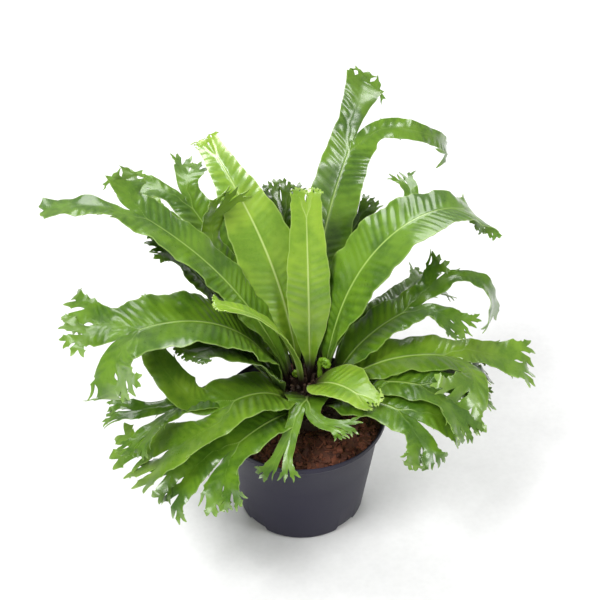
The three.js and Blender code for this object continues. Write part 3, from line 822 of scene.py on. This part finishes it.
def make_frond(row, settings, upper, under):
    sheet = Grower(row, settings).grown()
    mesh = bpy.data.meshes.new(row["name"] + "_leaf")
    points = np.concatenate(sheet.points) * MM
    mesh.from_pydata(points.tolist(), [], [tuple(int(i) for i in face) for face in sheet.faces])
    # pleat holds the pleats' rise and fall, which the leaf colour turns into painted light and shade
    for name in ("rib", "edge", "pleat", "tip"):
        values = mesh.attributes.new(name, "FLOAT", "POINT")
        values.data.foreach_set("value", np.concatenate(getattr(sheet, name)).astype(np.float32))
    along = mesh.uv_layers.new(name="blade")
    corners = np.empty(len(mesh.loops), dtype=np.int32)
    mesh.loops.foreach_get("vertex_index", corners)
    flat = np.stack([np.concatenate(sheet.u) * MM, np.concatenate(sheet.v) * MM], axis=1)
    along.data.foreach_set("uv", flat[corners].astype(np.float32).ravel())
    piece = bpy.data.objects.new(row["name"] + "_leaf", mesh)
    bpy.context.collection.objects.link(piece)
    thick = piece.vertex_groups.new(name="thick")
    shares = np.clip(np.concatenate(sheet.thick) / MOST_THICK, 0, 1)
    for index, share in enumerate(shares):
        thick.add([index], float(share), "REPLACE")
    mesh.materials.append(upper)
    mesh.materials.append(under)
    solid = piece.modifiers.new("thickness", "SOLIDIFY")
    solid.thickness = MOST_THICK * MM
    solid.offset = 0
    solid.vertex_group = "thick"
    solid.thickness_vertex_group = 0
    solid.use_rim = True
    solid.material_offset = 1
    solid.material_offset_rim = 0
    apply_modifiers(piece)
    piece.vertex_groups.clear()
    smooth_shade(piece, 60)
    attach(piece, BODY)
    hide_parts(row["name"])
    return piece


# ---------------------------------------------------------------- materials


class Nodes:
    """Short names for making and joining shader nodes in one tree."""

    def __init__(self, tree):
        self.tree = tree

    def add(self, kind, inputs=None, **settings):
        node = self.tree.nodes.new(kind)
        for key, value in settings.items():
            setattr(node, key, value)
        for key, value in (inputs or {}).items():
            self.feed(node.inputs[key], value)
        return node

    def feed(self, socket, value):
        if isinstance(value, bpy.types.NodeSocket):
            self.tree.links.new(value, socket)
        else:
            socket.default_value = value

    def math(self, operation, a, b=0.0, clamp=False):
        return self.add("ShaderNodeMath", {0: a, 1: b}, operation=operation, use_clamp=clamp).outputs[0]

    def mix(self, share, a, b, blend="MIX"):
        return self.add(
            "ShaderNodeMix", {0: share, 6: a, 7: b}, data_type="RGBA", blend_type=blend).outputs[2]

    def ramp(self, value, low, high):
        """0 at low and 1 at high, whichever is the larger."""
        return self.add(
            "ShaderNodeMapRange", {0: value, 1: low, 2: high, 3: 0.0, 4: 1.0},
            interpolation_type="SMOOTHSTEP").outputs[0]

    def noise(self, scale, detail=3.0, roughness=0.55, vector=None):
        inputs = {"Scale": scale, "Detail": detail, "Roughness": roughness}
        if vector is not None:
            inputs["Vector"] = vector
        return self.add("ShaderNodeTexNoise", inputs).outputs[0]

    def place(self):
        return self.add("ShaderNodeTexCoord").outputs["Object"]

    def attribute(self, name):
        return self.add("ShaderNodeAttribute", attribute_name=name).outputs["Fac"]


def rgba(colour):
    return (*colour, 1.0)


def new_group(name, inputs, outputs):
    """An empty shader node group with its sockets, and its two ends."""
    tree = bpy.data.node_groups.new(name, "ShaderNodeTree")
    kinds = {"f": "NodeSocketFloat", "c": "NodeSocketColor", "v": "NodeSocketVector"}
    for label, kind, value in inputs:
        socket = tree.interface.new_socket(label, in_out="INPUT", socket_type=kinds[kind])
        if value is not None:
            socket.default_value = value
    for label, kind in outputs:
        tree.interface.new_socket(label, in_out="OUTPUT", socket_type=kinds[kind])
    nodes = Nodes(tree)
    return nodes, nodes.add("NodeGroupInput").outputs, nodes.add("NodeGroupOutput").inputs


def leaf_pattern():
    """The green of a frond: deep and light areas, side veins, painted light on the pleats' crests and painted shade
    in their hollows, the pale rib, dark foot and pale tips.
    """
    name = "leaf_pattern"
    if name in bpy.data.node_groups:
        return bpy.data.node_groups[name]
    nodes, given, made = new_group(
        name,
        [("Light", "c", (0.1, 0.3, 0.03, 1)), ("Deep", "c", (0.03, 0.1, 0.01, 1)),
         ("Rib", "c", (0.3, 0.45, 0.1, 1)), ("Foot", "c", (0.02, 0.012, 0.008, 1)),
         ("Foot length", "f", 0.05), ("Vein pitch", "f", 0.0013), ("Bloom", "f", 0.5)],
        [("Colour", "c"), ("Roughness", "f"), ("Height", "f")])
    where = nodes.place()
    flat = nodes.add("ShaderNodeUVMap", uv_map="blade").outputs[0]
    apart = nodes.add("ShaderNodeSeparateXYZ", {0: flat}).outputs
    out = nodes.math("ABSOLUTE", apart[0])
    slant = nodes.math("MULTIPLY", out, 0.47)
    phase = nodes.math("SUBTRACT", apart[1], slant)
    wobble = nodes.math("MULTIPLY", nodes.noise(260, 2.0, 0.5, where), 0.0011)
    phase = nodes.math("ADD", phase, wobble)
    turns = nodes.math("DIVIDE", nodes.math("MULTIPLY", phase, 2 * math.pi), given["Vein pitch"])
    vein = nodes.math("SINE", turns)
    pleat = nodes.attribute("pleat")
    rib = nodes.attribute("rib")
    edge = nodes.attribute("edge")
    tip = nodes.attribute("tip")
    broad = nodes.noise(26, 3.0, 0.6, where)
    fine = nodes.noise(420, 3.0, 0.6, where)
    # the pleat attribute nudges the share: painted light on the pleats' crests, painted shade in their hollows
    share = nodes.ramp(nodes.math("ADD", broad, nodes.math("MULTIPLY", pleat, 0.05)), 0.34, 0.66)
    green = nodes.mix(share, given["Deep"], given["Light"])
    mottled = nodes.ramp(fine, 0.35, 0.75)
    green = nodes.mix(nodes.math("MULTIPLY", mottled, 0.22), green, given["Light"])
    crease = nodes.ramp(vein, 0.55, 1.0)
    green = nodes.mix(nodes.math("MULTIPLY", crease, 0.10), green, given["Deep"])
    rim = nodes.ramp(edge, 0.93, 1.0)
    green = nodes.mix(nodes.math("MULTIPLY", rim, 0.35), green, given["Rib"])
    pale = nodes.math("MULTIPLY", nodes.ramp(rib, 0.35, 0.9), 0.8)
    green = nodes.mix(pale, green, given["Rib"])
    green = nodes.mix(nodes.math("MULTIPLY", nodes.ramp(tip, 0.35, 1.0), given["Bloom"]), green, given["Rib"])
    reach = nodes.math("DIVIDE", apart[1], given["Foot length"])
    ragged = nodes.math("ADD", reach, nodes.math("MULTIPLY", nodes.math("SUBTRACT", broad, 0.5), 0.5))
    foot = nodes.math("SUBTRACT", 1.0, nodes.ramp(ragged, 0.25, 1.0))
    nodes.feed(made["Colour"], nodes.mix(foot, green, given["Foot"]))
    rough = nodes.math("ADD", nodes.math("MULTIPLY", fine, 0.16), nodes.math("MULTIPLY", foot, 0.3))
    nodes.feed(made["Roughness"], nodes.math("ADD", rough, 0.22))
    height = nodes.math("ADD", nodes.math("MULTIPLY", vein, 0.35), nodes.math("MULTIPLY", fine, 0.45))
    nodes.feed(made["Height"], height)
    return nodes.tree


def leaf_material(name, light, deep, rib, foot_length, bloom, coat, **plain):
    name = "look_" + name
    if name in bpy.data.materials:
        return bpy.data.materials[name]
    material = bpy.data.materials.new(name)
    material.use_nodes = True
    nodes = Nodes(material.node_tree)
    shader = material.node_tree.nodes["Principled BSDF"]
    pattern = nodes.add("ShaderNodeGroup", node_tree=leaf_pattern())
    values = {"Light": rgba(light), "Deep": rgba(deep), "Rib": rgba(rib), "Foot": (0.020, 0.010, 0.007, 1),
              "Foot length": foot_length, "Vein pitch": 0.0013, "Bloom": bloom}
    for key, value in values.items():
        pattern.inputs[key].default_value = value
    nodes.feed(shader.inputs["Base Color"], pattern.outputs["Colour"])
    nodes.feed(shader.inputs["Roughness"], pattern.outputs["Roughness"])
    bump = nodes.add("ShaderNodeBump", {"Height": pattern.outputs["Height"], "Distance": 0.00012, "Strength": 0.7})
    nodes.feed(shader.inputs["Normal"], bump.outputs[0])
    shader.inputs["Coat Weight"].default_value = coat
    shader.inputs["Coat Roughness"].default_value = 0.22
    shader.inputs["Specular IOR Level"].default_value = 0.2
    shader.inputs["Subsurface Weight"].default_value = 0.15
    shader.inputs["Subsurface Radius"].default_value = (0.6, 1.0, 0.2)
    shader.inputs["Subsurface Scale"].default_value = 0.0012
    for key, value in plain.items():
        shader.inputs[key.replace("_", " ")].default_value = value
    return material


def between(first, second, share):
    return tuple(a * (1 - share) + b * share for a, b in zip(first, second))


def lighter(colour, factor, white=0.0):
    return tuple(min(1.0, value * factor) * (1 - white) + white for value in colour)


def frond_materials(settings, tone):
    """The upper and the under side of a frond of one tone."""
    light, deep = tuple(settings.leaf), tuple(settings.leaf_deep)
    young, young_deep = tuple(settings.young), tuple(settings.young_deep)
    rib = (0.34, 0.48, 0.12)
    bloom = 0.25
    # the deep tone darkens the greens and the rib: painted shade for fronds under and behind other fronds
    if tone == SHADED:
        light, deep = lighter(light, 0.62), lighter(deep, 0.55)
        rib = lighter(rib, 0.7)
    elif tone == FRESH:
        light, deep = between(light, young, 0.4), between(deep, young_deep, 0.4)
    elif tone == PALE:
        light, deep = young, young_deep
        rib = (0.48, 0.60, 0.20)
        bloom = 0.45
    upper = leaf_material(tone + "_upper", light, deep, rib, 0.034, bloom, 0.9)
    under = leaf_material(
        tone + "_under", lighter(light, 1.1, 0.03), lighter(deep, 1.5, 0.02), rib, 0.034, bloom, 0.05)
    return upper, under


def speckle():
    """Mottling at three sizes, for earth, old stalks and moulded plastic."""
    name = "speckle"
    if name in bpy.data.node_groups:
        return bpy.data.node_groups[name]
    nodes, given, made = new_group(
        name, [("Scale", "f", 100.0), ("Contrast", "f", 0.3)], [("Share", "f"), ("Height", "f")])
    where = nodes.place()
    coarse = nodes.add("ShaderNodeTexNoise", {
        "Vector": where, "Scale": given["Scale"], "Detail": 4.0, "Roughness": 0.6}).outputs[0]
    grains = nodes.add("ShaderNodeTexVoronoi", {
        "Vector": where, "Scale": nodes.math("MULTIPLY", given["Scale"], 3.0)}).outputs[0]
    total = nodes.math("ADD", nodes.math("MULTIPLY", coarse, 0.7), nodes.math("MULTIPLY", grains, 0.3))
    low = nodes.math("SUBTRACT", 0.5, given["Contrast"])
    high = nodes.math("ADD", 0.5, given["Contrast"])
    nodes.feed(made["Share"], nodes.ramp(total, low, high))
    nodes.feed(made["Height"], total)
    return nodes.tree


def speckled(name, dark, light, scale, contrast, rough, bump, tinted=False, **plain):
    """A rough material between two colours, lighter where the mesh's own tint is high."""
    name = "look_" + name
    if name in bpy.data.materials:
        return bpy.data.materials[name]
    material = bpy.data.materials.new(name)
    material.use_nodes = True
    nodes = Nodes(material.node_tree)
    shader = material.node_tree.nodes["Principled BSDF"]
    mottle = nodes.add("ShaderNodeGroup", node_tree=speckle())
    mottle.inputs["Scale"].default_value = scale
    mottle.inputs["Contrast"].default_value = contrast
    share = mottle.outputs["Share"]
    if tinted:
        share = nodes.math("MULTIPLY", nodes.math("ADD", share, 0.35), nodes.attribute("tint"), clamp=True)
    nodes.feed(shader.inputs["Base Color"], nodes.mix(share, rgba(dark), rgba(light)))
    low, high = rough
    spread = nodes.math("MULTIPLY", mottle.outputs["Share"], high - low)
    nodes.feed(shader.inputs["Roughness"], nodes.math("ADD", spread, low))
    relief = nodes.add("ShaderNodeBump", {"Height": mottle.outputs["Height"], "Distance": bump, "Strength": 0.8})
    nodes.feed(shader.inputs["Normal"], relief.outputs[0])
    for key, value in plain.items():
        shader.inputs[key.replace("_", " ")].default_value = value
    return material


# ---------------------------------------------------------------- operators

RIM_HEIGHT = 0.013
RIM_FLARE = 0.008
FLOOR = 0.0024
FOOT_BEVEL = 0.0025
NOTCH_COUNT = 4
NOTCH_ANGLE = 24
NOTCH_HEIGHT = 0.006
NOTCH_DEPTH = 0.009
POT_SIDES = 128


class FERN_OT_pot(bpy.types.Operator):
    """Makes the nursery pot: its tapered wall, flared rim, floor and drain notches"""

    bl_idname = "fern.pot"
    bl_label = "Pot"

    def execute(self, context):
        pot = context.scene.fern_pot
        neck = pot.height - RIM_HEIGHT
        flared = neck + RIM_FLARE
        lip = pot.wall / 3
        slope = (pot.neck_radius - pot.base_radius) / neck
        band = 0.0007  # the rim's band stands proud of the flare by this
        profile = [
            (pot.base_radius - FOOT_BEVEL, 0),
            (pot.base_radius + slope * FOOT_BEVEL - 0.0004, FOOT_BEVEL * 0.7),
            (pot.base_radius + slope * FOOT_BEVEL * 1.6, FOOT_BEVEL * 1.6),
            (pot.base_radius + slope * neck / 3, neck / 3),
            (pot.base_radius + slope * neck * 2 / 3, neck * 2 / 3),
            (pot.neck_radius, neck),
            (pot.rim_radius - band, flared - 0.001),
            (pot.rim_radius, flared),
            (pot.rim_radius, pot.height - lip * 2),
            (pot.rim_radius - lip / 2, pot.height - lip / 2),
            (pot.rim_radius - lip * 1.2, pot.height),
            (pot.rim_radius - pot.wall + lip, pot.height),
            (pot.rim_radius - pot.wall, pot.height - lip),
            (pot.rim_radius - pot.wall, flared),
            (pot.neck_radius - pot.wall, neck),
            (pot.base_radius + slope * FLOOR - pot.wall, FLOOR),
        ]
        piece = turned_shell("pot_moulding", profile, POT_SIDES)
        self.cut_notches(piece, pot.base_radius)
        piece.modifiers.new("soft_edges", "BEVEL")
        bevel = piece.modifiers["soft_edges"]
        bevel.width = 0.00035
        bevel.segments = 2
        bevel.angle_limit = math.radians(40)
        apply_modifiers(piece)
        smooth_shade(piece, 30)
        plastic = speckled(
            "pot_plastic", lighter(pot.colour, 0.8), lighter(pot.colour, 1.35), 900, 0.35, (0.36, 0.5), 0.00006,
            Specular_IOR_Level=0.25)
        finish_piece(piece, "pot", "pot_plastic", plastic)
        return {"FINISHED"}

    def cut_notches(self, piece, base_radius):
        """Cuts the drain slots out of the corner between wall and floor."""
        for index in range(NOTCH_COUNT):
            turn = (index + 0.5) * 2 * math.pi / NOTCH_COUNT
            deselect()
            bpy.ops.mesh.primitive_cube_add(size=1, location=(base_radius, 0, NOTCH_HEIGHT / 2 - 0.001))
            cutter = start("notch")
            cutter.scale = (
                2 * NOTCH_DEPTH, 2 * base_radius * math.sin(math.radians(NOTCH_ANGLE / 2)), NOTCH_HEIGHT + 0.002)
            settle(cutter)
            bpy.ops.object.mode_set(mode="EDIT")
            select_verts(cutter, lambda co: co.z > 0)
            bpy.ops.transform.resize(value=(1, 0.8, 1), center_override=(base_radius, 0, 0))
            bpy.ops.mesh.select_all(action="SELECT")
            bpy.ops.transform.rotate(value=-turn, orient_axis="Z", center_override=(0, 0, 0))
            bpy.ops.object.mode_set(mode="OBJECT")
            cut = piece.modifiers.new("notch", "BOOLEAN")
            cut.operation = "DIFFERENCE"
            cut.object = cutter
            apply_modifiers(piece)
            bpy.data.objects.remove(cutter)


class FERN_OT_soil(bpy.types.Operator):
    """Makes the potting mix: the root ball with its uneven top, and the chips that lie on it"""

    bl_idname = "fern.soil"
    bl_label = "Potting mix"

    def execute(self, context):
        soil = context.scene.fern_soil
        dice = random.Random("soil")
        top_radius = SOIL_HIGH.x
        edge = SOIL_HIGH.z - 0.005
        level = 0.048
        low_radius = context.scene.fern_pot.base_radius - 0.0018
        profile = [(low_radius, SOIL_LOW.z), (low_radius + 0.0142, 0.108), (top_radius, edge)]
        for step in range(1, 30):
            radius = top_radius + (0.0015 - top_radius) * step / 29
            rise = min(1.0, (top_radius - radius) / (top_radius - level))
            profile.append((radius, edge + (SOIL_HIGH.z - edge) * rise))
        body = turned_shell("root_ball", profile, 96)
        top = group_of(body, "top", lambda co: smooth((co.z - edge + 0.001) / 0.002)
                       * smooth((top_radius - math.hypot(co.x, co.y)) / 0.004))
        displace(body, "CLOUDS", 0.011, 0.0052, top.name, noise_depth=3)
        displace(body, "VORONOI", 0.0045, 0.0022, top.name)
        tint = body.data.attributes.new("tint", "FLOAT", "POINT")
        tint.data.foreach_set("value", [0.45] * len(body.data.vertices))
        chips = self.chips(soil, dice, top_radius, edge, level)
        deselect()
        chips.select_set(True)
        body.select_set(True)
        bpy.context.view_layer.objects.active = body
        bpy.ops.object.join()
        mix = start("potting_mix")
        mix.vertex_groups.clear()
        smooth_shade(mix, 40)
        earth = speckled("potting_mix", soil.dark, soil.light, 420, 0.26, (0.72, 0.95), 0.0005, tinted=True)
        finish_piece(mix, "soil", "potting_mix", earth)
        return {"FINISHED"}

    def chips(self, soil, dice, top_radius, edge, level):
        """Coco chips and fibres, each a small worn block turned its own way."""
        deselect()
        bpy.ops.mesh.primitive_cube_add(size=1)
        block = start("chip")
        bpy.ops.object.mode_set(mode="EDIT")
        bpy.ops.mesh.select_all(action="SELECT")
        bpy.ops.mesh.subdivide(number_cuts=1, smoothness=0.4)
        bpy.ops.transform.vertex_random(offset=0.16, uniform=0.6, seed=3)
        bpy.ops.object.mode_set(mode="OBJECT")
        places, tints = [], []
        for _ in range(soil.chips):
            radius = top_radius * math.sqrt(dice.uniform(0.0, 0.93))
            angle = dice.uniform(0, 2 * math.pi)
            rise = min(1.0, (top_radius - radius) / (top_radius - level))
            height = edge + (SOIL_HIGH.z - edge) * rise + dice.uniform(-0.0008, 0.0010)
            size = soil.chip_size * dice.choice((0.4, 0.6, 0.8, 1.0, 1.0, 1.5))
            fibre = dice.random() < 0.3
            scale = (size * 1.9, size * 0.22, size * 0.2) if fibre else (
                size, size * dice.uniform(0.45, 0.8), size * dice.uniform(0.25, 0.5))
            radius = min(radius, top_radius - 0.6 * max(scale))  # no chip reaches into the pot's wall
            turn = Matrix.Rotation(angle, 4, "Z") @ Matrix.Rotation(dice.gauss(0, 0.35), 4, "X")
            turn = turn @ Matrix.Rotation(dice.gauss(0, 0.35), 4, "Y") @ Matrix.Rotation(
                dice.uniform(0, 6.28), 4, "Z")
            spot = Matrix.Translation((radius * math.cos(angle), radius * math.sin(angle), height))
            places.append(spot @ turn @ Matrix.Diagonal((*scale, 1)))
            tints.append(dice.choice((0.25, 0.5, 0.75, 1.0, 1.3)))
        chips = scattered(block, places, tints, "chips")
        bpy.data.objects.remove(block)
        return chips


class FERN_OT_crown(bpy.types.Operator):
    """Makes the crown: a dome of old matter and the stalk bases and scales that cover it"""

    bl_idname = "fern.crown"
    bl_label = "Crown"

    def execute(self, context):
        crown = context.scene.fern_crown
        dice = random.Random("crown")
        x, y = (value * MM for value in crown_middle())
        radius = CROWN_HIGH.x - x
        profile = [(radius, CROWN_LOW.z - 0.001)]
        for step in range(13):
            out = 1 - step / 12 * 0.97
            profile.append((radius * out, (crown_height(radius * out / MM) - 1.5) * MM))
        body = turned_shell("crown_dome", profile, 64, (x, y))
        upper = group_of(body, "upper", lambda co: smooth((co.z - CROWN_LOW.z) / 0.004))
        displace(body, "CLOUDS", 0.006, 0.004, upper.name, noise_depth=3)
        values = body.data.attributes.new("tint", "FLOAT", "POINT")
        values.data.foreach_set("value", [0.4] * len(body.data.vertices))
        stubs = self.stubs(crown, dice, x, y, radius)
        scales = self.scales(dice, x, y, radius)
        deselect()
        for part in (stubs, scales, body):
            part.select_set(True)
        bpy.context.view_layer.objects.active = body
        bpy.ops.object.join()
        piece = start("crown_fibre")
        piece.vertex_groups.clear()
        smooth_shade(piece, 45)
        fibre = speckled(
            "crown_fibre", lighter(crown.colour, 0.5), lighter(crown.colour, 3.2), 300, 0.3, (0.6, 0.9), 0.0004,
            tinted=True)
        finish_piece(piece, "crown", "crown_fibre", fibre)
        return {"FINISHED"}

    def spot(self, x, y, radius, share, angle, tilt, dice):
        """A place on the dome and a turn that points outwards and up."""
        distance = radius * share
        height = (crown_height(distance / MM) - 2.5) * MM
        lean = Matrix.Rotation(angle, 4, "Z") @ Matrix.Rotation(tilt, 4, "Y")
        spin = Matrix.Rotation(dice.uniform(0, 6.28), 4, "Z")
        at = Matrix.Translation((x + distance * math.cos(angle), y + distance * math.sin(angle), height))
        return at @ lean @ spin

    def stubs(self, crown, dice, x, y, radius):
        deselect()
        bpy.ops.mesh.primitive_cone_add(
            vertices=8, radius1=0.0026, radius2=0.0017, depth=crown.stub_length,
            location=(0, 0, crown.stub_length / 2))
        stub = start("stub")
        settle(stub)
        bpy.ops.object.mode_set(mode="EDIT")
        select_verts(stub, lambda co: co.z > crown.stub_length * 0.9)
        bpy.ops.mesh.inset(thickness=0.0005)
        bpy.ops.transform.translate(value=(0.0006, 0, -0.0009))
        bpy.ops.object.mode_set(mode="OBJECT")
        places, tints = [], []
        for index in range(crown.stubs):
            share = math.sqrt((index + 0.5) / crown.stubs) * 0.97
            angle = index * math.radians(137.508)
            size = dice.uniform(0.7, 1.15)
            spot = self.spot(x, y, radius, share, angle, 0.15 + 1.0 * share ** 2 + dice.gauss(0, 0.1), dice)
            places.append(spot @ Matrix.Diagonal((size, size, size, 1)))
            tints.append(dice.uniform(0.2, 1.1))
        stubs = scattered(stub, places, tints, "stubs")
        bpy.data.objects.remove(stub)
        return stubs

    def scales(self, dice, x, y, radius):
        deselect()
        bpy.ops.mesh.primitive_cone_add(vertices=4, radius1=0.0007, radius2=0, depth=0.009, location=(0, 0, 0.0045))
        scale = start("scale")
        settle(scale)
        places, tints = [], []
        for _ in range(420):
            share = math.sqrt(dice.random()) * 0.98
            tilt = 0.3 + 1.1 * share + dice.gauss(0, 0.3)
            spot = self.spot(x, y, radius, share, dice.uniform(0, 2 * math.pi), tilt, dice)
            size = dice.uniform(0.6, 1.2)
            places.append(spot @ Matrix.Diagonal((size, size * 0.5, size, 1)))
            tints.append(dice.uniform(0.6, 2.0))
        scales = scattered(scale, places, tints, "scales")
        bpy.data.objects.remove(scale)
        return scales


class FERN_OT_fronds(bpy.types.Operator):
    """Grows every grown and young frond of the table, each as one closed sheet"""

    bl_idname = "fern.fronds"
    bl_label = "Fronds"

    def execute(self, context):
        settings = context.scene.fern_frond
        for row in FRONDS:
            piece = make_frond(row, settings, *frond_materials(settings, row["tone"]))
        return {"FINISHED"}


CROZIER_RADIUS = 2.4
CROZIER_TURNS = 1.4
CROZIER_TIGHTENING = 0.8
CROZIER_TAPER = 0.5


class FERN_OT_croziers(bpy.types.Operator):
    """Makes the young fronds that are still rolled up"""

    bl_idname = "fern.croziers"
    bl_label = "Croziers"

    def execute(self, context):
        settings = context.scene.fern_frond
        material = leaf_material(
            "crozier_leaf", lighter(settings.young, 1.1), settings.young_deep, (0.50, 0.60, 0.20), 0.012, 0.6, 0.2)
        for row in CROZIERS:
            self.make(row, material)
        return {"FINISHED"}

    def make(self, row, material):
        heading = math.radians(row["turn"])
        outward = Vector((math.cos(heading), math.sin(heading), 0))
        foot = Vector(foot_of(row, CROZIER_GAP))
        steps, straight = 56, 12
        deselect()
        bpy.ops.curve.primitive_nurbs_path_add()
        piece = start(row["name"] + "_coil")
        shape = piece.data
        shape.splines.clear()
        line = shape.splines.new("POLY")
        line.points.add(steps + straight)
        for index in range(steps + straight + 1):
            winding = max(0, index - straight) / steps
            angle = 2 * math.pi * CROZIER_TURNS * winding
            reach = row["coil"] * (1 - CROZIER_TIGHTENING * winding)
            up = row["height"] + reach * math.sin(angle) if winding > 0 else (
                -4 + (row["height"] + 4) * index / straight)
            point = foot + outward * (row["coil"] - reach * math.cos(angle)) + Vector((0, 0, up))
            line.points[index].co = (*(point * MM), 1)
            bulge = 1 + 0.12 * math.sin(index * 1.3)
            line.points[index].radius = (1 - CROZIER_TAPER * winding) * bulge
        shape.dimensions = "3D"
        shape.bevel_depth = CROZIER_RADIUS * MM
        shape.bevel_resolution = 5
        shape.use_fill_caps = True
        activate(piece)
        bpy.ops.object.convert(target="MESH")
        piece = start(row["name"] + "_coil")
        settle(piece)
        flat = piece.data.uv_layers[0] if piece.data.uv_layers else piece.data.uv_layers.new(name="blade")
        flat.name = "blade"
        height = foot.z * MM
        for corner in piece.data.loops:
            place = piece.data.vertices[corner.vertex_index].co
            flat.data[corner.index].uv = (0.002, max(0.0, place.z - height + 0.004))
        for name in ("rib", "edge", "pleat", "tip"):
            piece.data.attributes.new(name, "FLOAT", "POINT")
        smooth_shade(piece, 60)
        finish_piece(piece, row["name"], "crozier_leaf", material)


class FERN_OT_stage(bpy.types.Operator):
    """Makes the floor, the lamps and the camera"""

    bl_idname = "fern.stage"
    bl_label = "Stage"

    def execute(self, context):
        stage = context.scene.fern_stage
        deselect()
        bpy.ops.mesh.primitive_plane_add(size=12, location=(0, 0, -0.0002))
        floor = start("floor")
        settle(floor)
        paper = speckled("floor_paper", (0.70, 0.70, 0.70), (0.76, 0.76, 0.76), 60, 0.4, (0.7, 0.85), 0.00004)
        floor.data.materials.append(paper)
        self.lamps(stage.light)
        self.camera(context, stage)
        context.scene.view_settings.view_transform = "Standard"
        return {"FINISHED"}

    def lamps(self, strength):
        target = Vector((0, 0, 0.2))
        lamps = (
            ("key_lamp", (-1.1, -0.9, 2.4), 0.9, 58),
            ("side_lamp", (1.9, -0.9, 1.6), 0.8, 28),
            ("front_lamp", (-1.5, -1.9, 0.8), 0.7, 22),
            ("back_lamp", (-0.1, 1.5, 2.4), 1.7, 56),
        )
        for name, place, size, power in lamps:
            deselect()
            bpy.ops.object.light_add(type="AREA", location=place)
            lamp = bpy.context.object
            lamp.name = lamp.data.name = name
            lamp.data.size = size
            lamp.data.energy = power * strength
            lamp.rotation_euler = (target - lamp.location).to_track_quat("-Z", "Y").to_euler()
        world = bpy.data.worlds.new("studio")
        world.use_nodes = True
        world.node_tree.nodes["Background"].inputs["Color"].default_value = (1, 1, 1, 1)
        world.node_tree.nodes["Background"].inputs["Strength"].default_value = 0.36 * strength
        bpy.context.scene.world = world

    def camera(self, context, stage):
        target = Vector((-0.0015, 0, 0.264))
        back = Vector((0, -math.cos(stage.elevation), math.sin(stage.elevation)))
        deselect()
        bpy.ops.object.camera_add(location=target + back * stage.distance)
        camera = bpy.context.object
        camera.name = camera.data.name = "camera"
        camera.rotation_euler = (-back).to_track_quat("-Z", "Y").to_euler()
        camera.data.lens = stage.lens
        camera.data.sensor_width = 36
        camera.data.clip_start = 0.05
        context.scene.camera = camera


class FERN_PT_panel(bpy.types.Panel):
    """Lists the makers of the fern's pieces and their sizes"""

    bl_label = "Potted Fern"
    bl_idname = "FERN_PT_panel"
    bl_space_type = "VIEW_3D"
    bl_region_type = "UI"
    bl_category = "Fern"

    def draw(self, context):
        layout = self.layout
        for operator, label in MAKERS:
            layout.operator(operator)
            if label:
                settings = getattr(context.scene, label)
                box = layout.box()
                for name in settings.__annotations__:
                    box.prop(settings, name)


MAKERS = (
    ("fern.stage", "fern_stage"),
    ("fern.pot", "fern_pot"),
    ("fern.soil", "fern_soil"),
    ("fern.crown", "fern_crown"),
    ("fern.fronds", "fern_frond"),
    ("fern.croziers", ""),
)

SETTINGS = (
    ("fern_pot", FernPotSettings),
    ("fern_soil", FernSoilSettings),
    ("fern_crown", FernCrownSettings),
    ("fern_frond", FernFrondSettings),
    ("fern_stage", FernStageSettings),
)

OPERATORS = (
    FERN_OT_stage, FERN_OT_pot, FERN_OT_soil, FERN_OT_crown, FERN_OT_fronds, FERN_OT_croziers, FERN_PT_panel)


def register():
    for name, settings in SETTINGS:
        bpy.utils.register_class(settings)
        setattr(bpy.types.Scene, name, PointerProperty(type=settings))
    for made in OPERATORS:
        bpy.utils.register_class(made)


def unregister():
    for made in reversed(OPERATORS):
        bpy.utils.unregister_class(made)
    for name, settings in reversed(SETTINGS):
        delattr(bpy.types.Scene, name)
        bpy.utils.unregister_class(settings)


def main():
    register()
    for operator, _ in MAKERS:
        group, name = operator.split(".")
        getattr(getattr(bpy.ops, group), name)()


if __name__ == "__main__":
    main()
